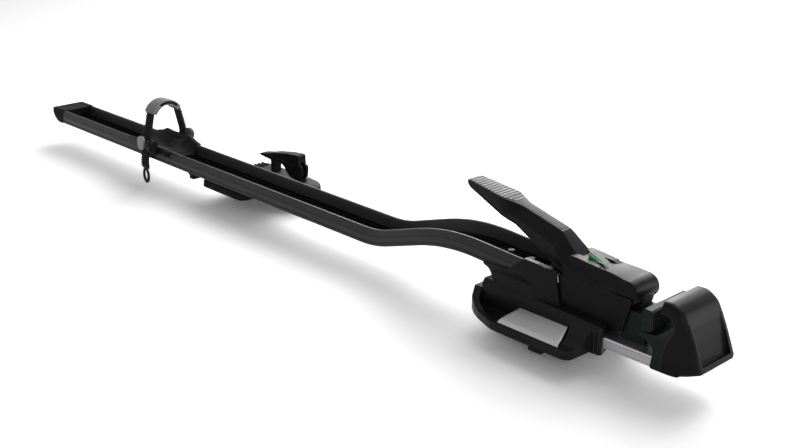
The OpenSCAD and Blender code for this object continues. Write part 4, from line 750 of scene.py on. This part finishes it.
plate = rounded([(-919.5, 44.6), (-921.4, 54), (-919.5, 63.0), (-914, 66.4), (-905.4, 66.0),
                 (-903.0, 62), (-903.8, 50), (-907.0, 42.6), (-914, 41.8)],
                [3, 6, 4, 4, 4, 4, 6, 4, 4], 5, closed=True)
depth = np.array([-48.9, -49.3, -53.2, -54.2, -54.5])
shrink = np.array([0.95, 0.99, 1, 0.95, 0.84])
thumb_grey = moulded("thumb_grey", (0.16, 0.16, 0.16), (0.20, 0.20, 0.20),
                     rough=(0.45, 0.55), grain=1100.0, specular=0.35)
skin("thumb_lever", pressed(plate, (-911.5, 54.5), depth, shrink), thumb_grey, "buckle_lever",
     crease=40, replaces=("buckle_lever",))

# Knob of the anchor's screw under a domed dark grey cap, on the strap's black anchor
knob = rounded([(5.8, 40.2), (9.8, 41.0), (11.2, 45.4), (11.2, 49.0), (9.0, 53.4), (4.5, 54.6),
                (0.3, 54.9)], [0, 1.6, 1.6, 1.6, 2, 2, 0], 5)
knob_grey = moulded("knob_grey", (0.03, 0.03, 0.03), (0.045, 0.045, 0.045), rough=(0.3, 0.4))
skin("knob_cap", turned((-913.0, 51.5), knob), knob_grey, "wheel_holder",
     crease=40)
dress("anchor_knob", knob_grey)
base = rounded([(-926.5, 42.2), (-926.5, 55), (-924, 58.4), (-906, 58.4), (-903.5, 55),
                (-903.5, 42.2)], [0.8, 2, 2, 2, 2, 0.8], 4, closed=True)
depth = np.array([34.7, 35.0, 41.2, 42.2])
shrink = np.array([0.97, 1, 1, 0.94])
skin("anchor_base", pressed(base, (strap_x, 50), depth, shrink), matt_nylon, "wheel_holder",
     crease=40, replaces=("strap_anchor",))


# Rear foot plate
# Nylon plate clamped to the roof bar: rounded plan, stepped side, a long raised ring under the
# tray's near side, four short ribs, and a riser that carries the tray.

# The plate seen from above, then its inset and height at each level
plan = rounded([
    (-784, 14), (-779, -8), (-776, -19), (-768, -23), (-684, -23), (-673, -21.5), (-664, -12),
    (-661, 6), (-614, 60), (-608, 72), (-608, 92), (-614, 106), (-632, 117), (-670, 121),
    (-782, 119), (-787, 88)],
    [6, 8, 5, 6, 9, 7, 7, 9, 10, 8, 10, 10, 12, 9, 9, 12], 6, closed=True)
edge = np.roll(plan, -1, axis=0) - np.roll(plan, 1, axis=0)
edge /= np.hypot(*edge.T)[:, None]
outward = np.stack([edge[:, 1], -edge[:, 0]], -1)
inset = np.array([1.6, 0.5, 0, 0, 0.6, 0.9, 0.4, 0.4, 1.0, 2.2])
level = np.array([2.4, 2.6, 3.2, 6.0, 6.6, 7.4, 8.0, 11.4, 12.6, 13.0])
side = plan[None] - inset[:, None, None] * outward
grid = np.concatenate([side, np.broadcast_to(level[:, None, None], (*side.shape[:2], 1))], 2)
skin("rear_plate", grid, matt_nylon, "rear_foot", crease=40,
     replaces=("rear_foot_plate",))

# The raised ring: a low bead carried round a long oval with blunt ends
turn = np.linspace(0, 2 * np.pi, 48, endpoint=False)
ring_middle, ring_half_l, ring_half_w = (-725, -17.2), 46, 3.6
flat_x = ring_middle[0] + np.sign(np.cos(turn)) * np.abs(np.cos(turn))**0.35 * ring_half_l
flat_y = ring_middle[1] + np.sign(np.sin(turn)) * np.abs(np.sin(turn))**0.6 * ring_half_w
around = np.stack([flat_x, flat_y], -1)
lean_out = np.stack([np.cos(turn) * 0.6, np.sin(turn)], -1)
bead = np.array([(-0.9, 12.6), (-0.8, 13.8), (0, 14.4), (0.8, 13.8), (0.9, 12.6), (0, 12.2)])
grid = np.concatenate([
    around[:, None] + bead[None, :, :1] * lean_out[:, None],
    np.broadcast_to(bead[None, :, 1:], (len(turn), len(bead), 1))], 2)
skin("rear_plate_lip", grid, matt_nylon, "rear_foot", crease=60, loop=True)

# The riser: its half length, half width and height at each level
riser_x = -713
riser = np.array([(43, 16, 12.8), (42, 15.6, 15), (41, 15.2, 20), (41.4, 15.6, 23.4)])
corner = rounded([(-1, -1), (1, -1), (1, 1), (-1, 1)], 0.2, 5, closed=True)
grid = np.stack(np.broadcast_arrays(
    riser_x + riser[:, :1] * corner[:, 0], riser[:, 1:2] * corner[:, 1], riser[:, 2:]), -1)
skin("rear_riser", grid, matt_nylon, "rear_foot", crease=40)

# Four short ribs side by side at the plate's tail edge
rib_n, rib_pitch, first_rib_y = 4, 8.0, 85
rib = rounded([(-1.9, 12.9), (-1.4, 15.2), (1.4, 15.2), (1.9, 12.9)], [0, 0.6, 0.6, 0], 3)
ends = np.array([(-782, 0.8), (-781, 1), (-765, 1), (-764, 0.8)])
for i in range(rib_n):
    grid = np.stack(np.broadcast_arrays(
        ends[:, :1], first_rib_y + rib_pitch * i + rib[:, 0] * ends[:, 1:], rib[:, 1]), -1)
    skin(f"rear_plate_rib_{i + 1}", grid, matt_nylon, "rear_foot", crease=40)


# Floor, light and camera
# A plain pale floor, five soft lamps, and a world that is white to the camera and in
# reflections but lights the part more weakly. The camera stands at the photograph's angle.

floor_z = -0.0245
floor_mesh = bpy.data.meshes.new("floor")
reach = 6.0
floor_mesh.from_pydata(
    [(-reach, -reach, floor_z), (reach, -reach, floor_z), (reach, reach, floor_z),
     (-reach, reach, floor_z)], [], [(0, 1, 2, 3)]
)
floor = bpy.data.objects.new("floor", floor_mesh)
bpy.context.scene.collection.objects.link(floor)
floor_mat, _, floor_shader, _ = start_material("floor_pale")
floor_shader.inputs["Base Color"].default_value = (0.9, 0.9, 0.9, 1)
floor_shader.inputs["Roughness"].default_value = 0.9
floor_mesh.materials.append(floor_mat)

world = bpy.data.worlds.new("studio")
bpy.context.scene.world = world
world.use_nodes = True
studio = world.node_tree
backdrop = studio.nodes["Background"]
backdrop.inputs["Color"].default_value = (1, 1, 1, 1)
lit_by, seen_as = 0.42, 1.0
path = studio.nodes.new("ShaderNodeLightPath")
seen = studio.nodes.new("ShaderNodeMath")
seen.operation = "MAXIMUM"
studio.links.new(path.outputs["Is Camera Ray"], seen.inputs[0])
studio.links.new(path.outputs["Is Glossy Ray"], seen.inputs[1])
strength = studio.nodes.new("ShaderNodeMapRange")
strength.inputs["To Min"].default_value = lit_by
strength.inputs["To Max"].default_value = seen_as
studio.links.new(seen.outputs[0], strength.inputs["Value"])
studio.links.new(strength.outputs[0], backdrop.inputs["Strength"])


def softbox(name, place, aim, size, power):
    """A square lamp at a place, turned to face a point."""
    lamp = bpy.data.lights.new(name, "AREA")
    lamp.shape = "SQUARE"
    lamp.size = size
    lamp.energy = power
    obj = bpy.data.objects.new(name, lamp)
    obj.location = place
    obj.visible_camera = False
    obj.rotation_euler = (Vector(aim) - Vector(place)).to_track_quat("-Z", "Y").to_euler()
    bpy.context.scene.collection.objects.link(obj)


softbox("back", (-1.2, 2.4, 2.0), (-0.3, 0, 0), size=2.8, power=100)
softbox("low", (-1.33, 1.28, 0.79), (0.06, 0, 0.1), size=1.2, power=27)
softbox("right", (2.0, 1.9, 0.7), (0.15, 0, 0.06), size=1.6, power=32)
softbox("key", (0.2, 1.2, 2.5), (-0.2, 0, 0), size=1.6, power=25)
softbox("front", (2.2, -2.1, 1.5), (0.1, 0, 0.05), size=1.0, power=25)

camera_data = bpy.data.cameras.new("camera")
camera_data.sensor_width = 36
camera_data.lens = 53.28
camera_data.clip_start = 0.01
camera = bpy.data.objects.new("camera", camera_data)
forward = Vector((-0.6846, 0.6406, -0.3476)).normalized()
right = Vector((0.683, 0.730, 0.0)).normalized()
up = right.cross(forward)
camera_x, camera_y, camera_z = 0.8368, -1.0730, 0.6361
camera.matrix_world = Matrix((
    (right.x, up.x, -forward.x, camera_x),
    (right.y, up.y, -forward.y, camera_y),
    (right.z, up.z, -forward.z, camera_z),
    (0, 0, 0, 1),
))
bpy.context.scene.collection.objects.link(camera)
bpy.context.scene.camera = camera
bpy.context.scene.view_settings.view_transform = "Standard"
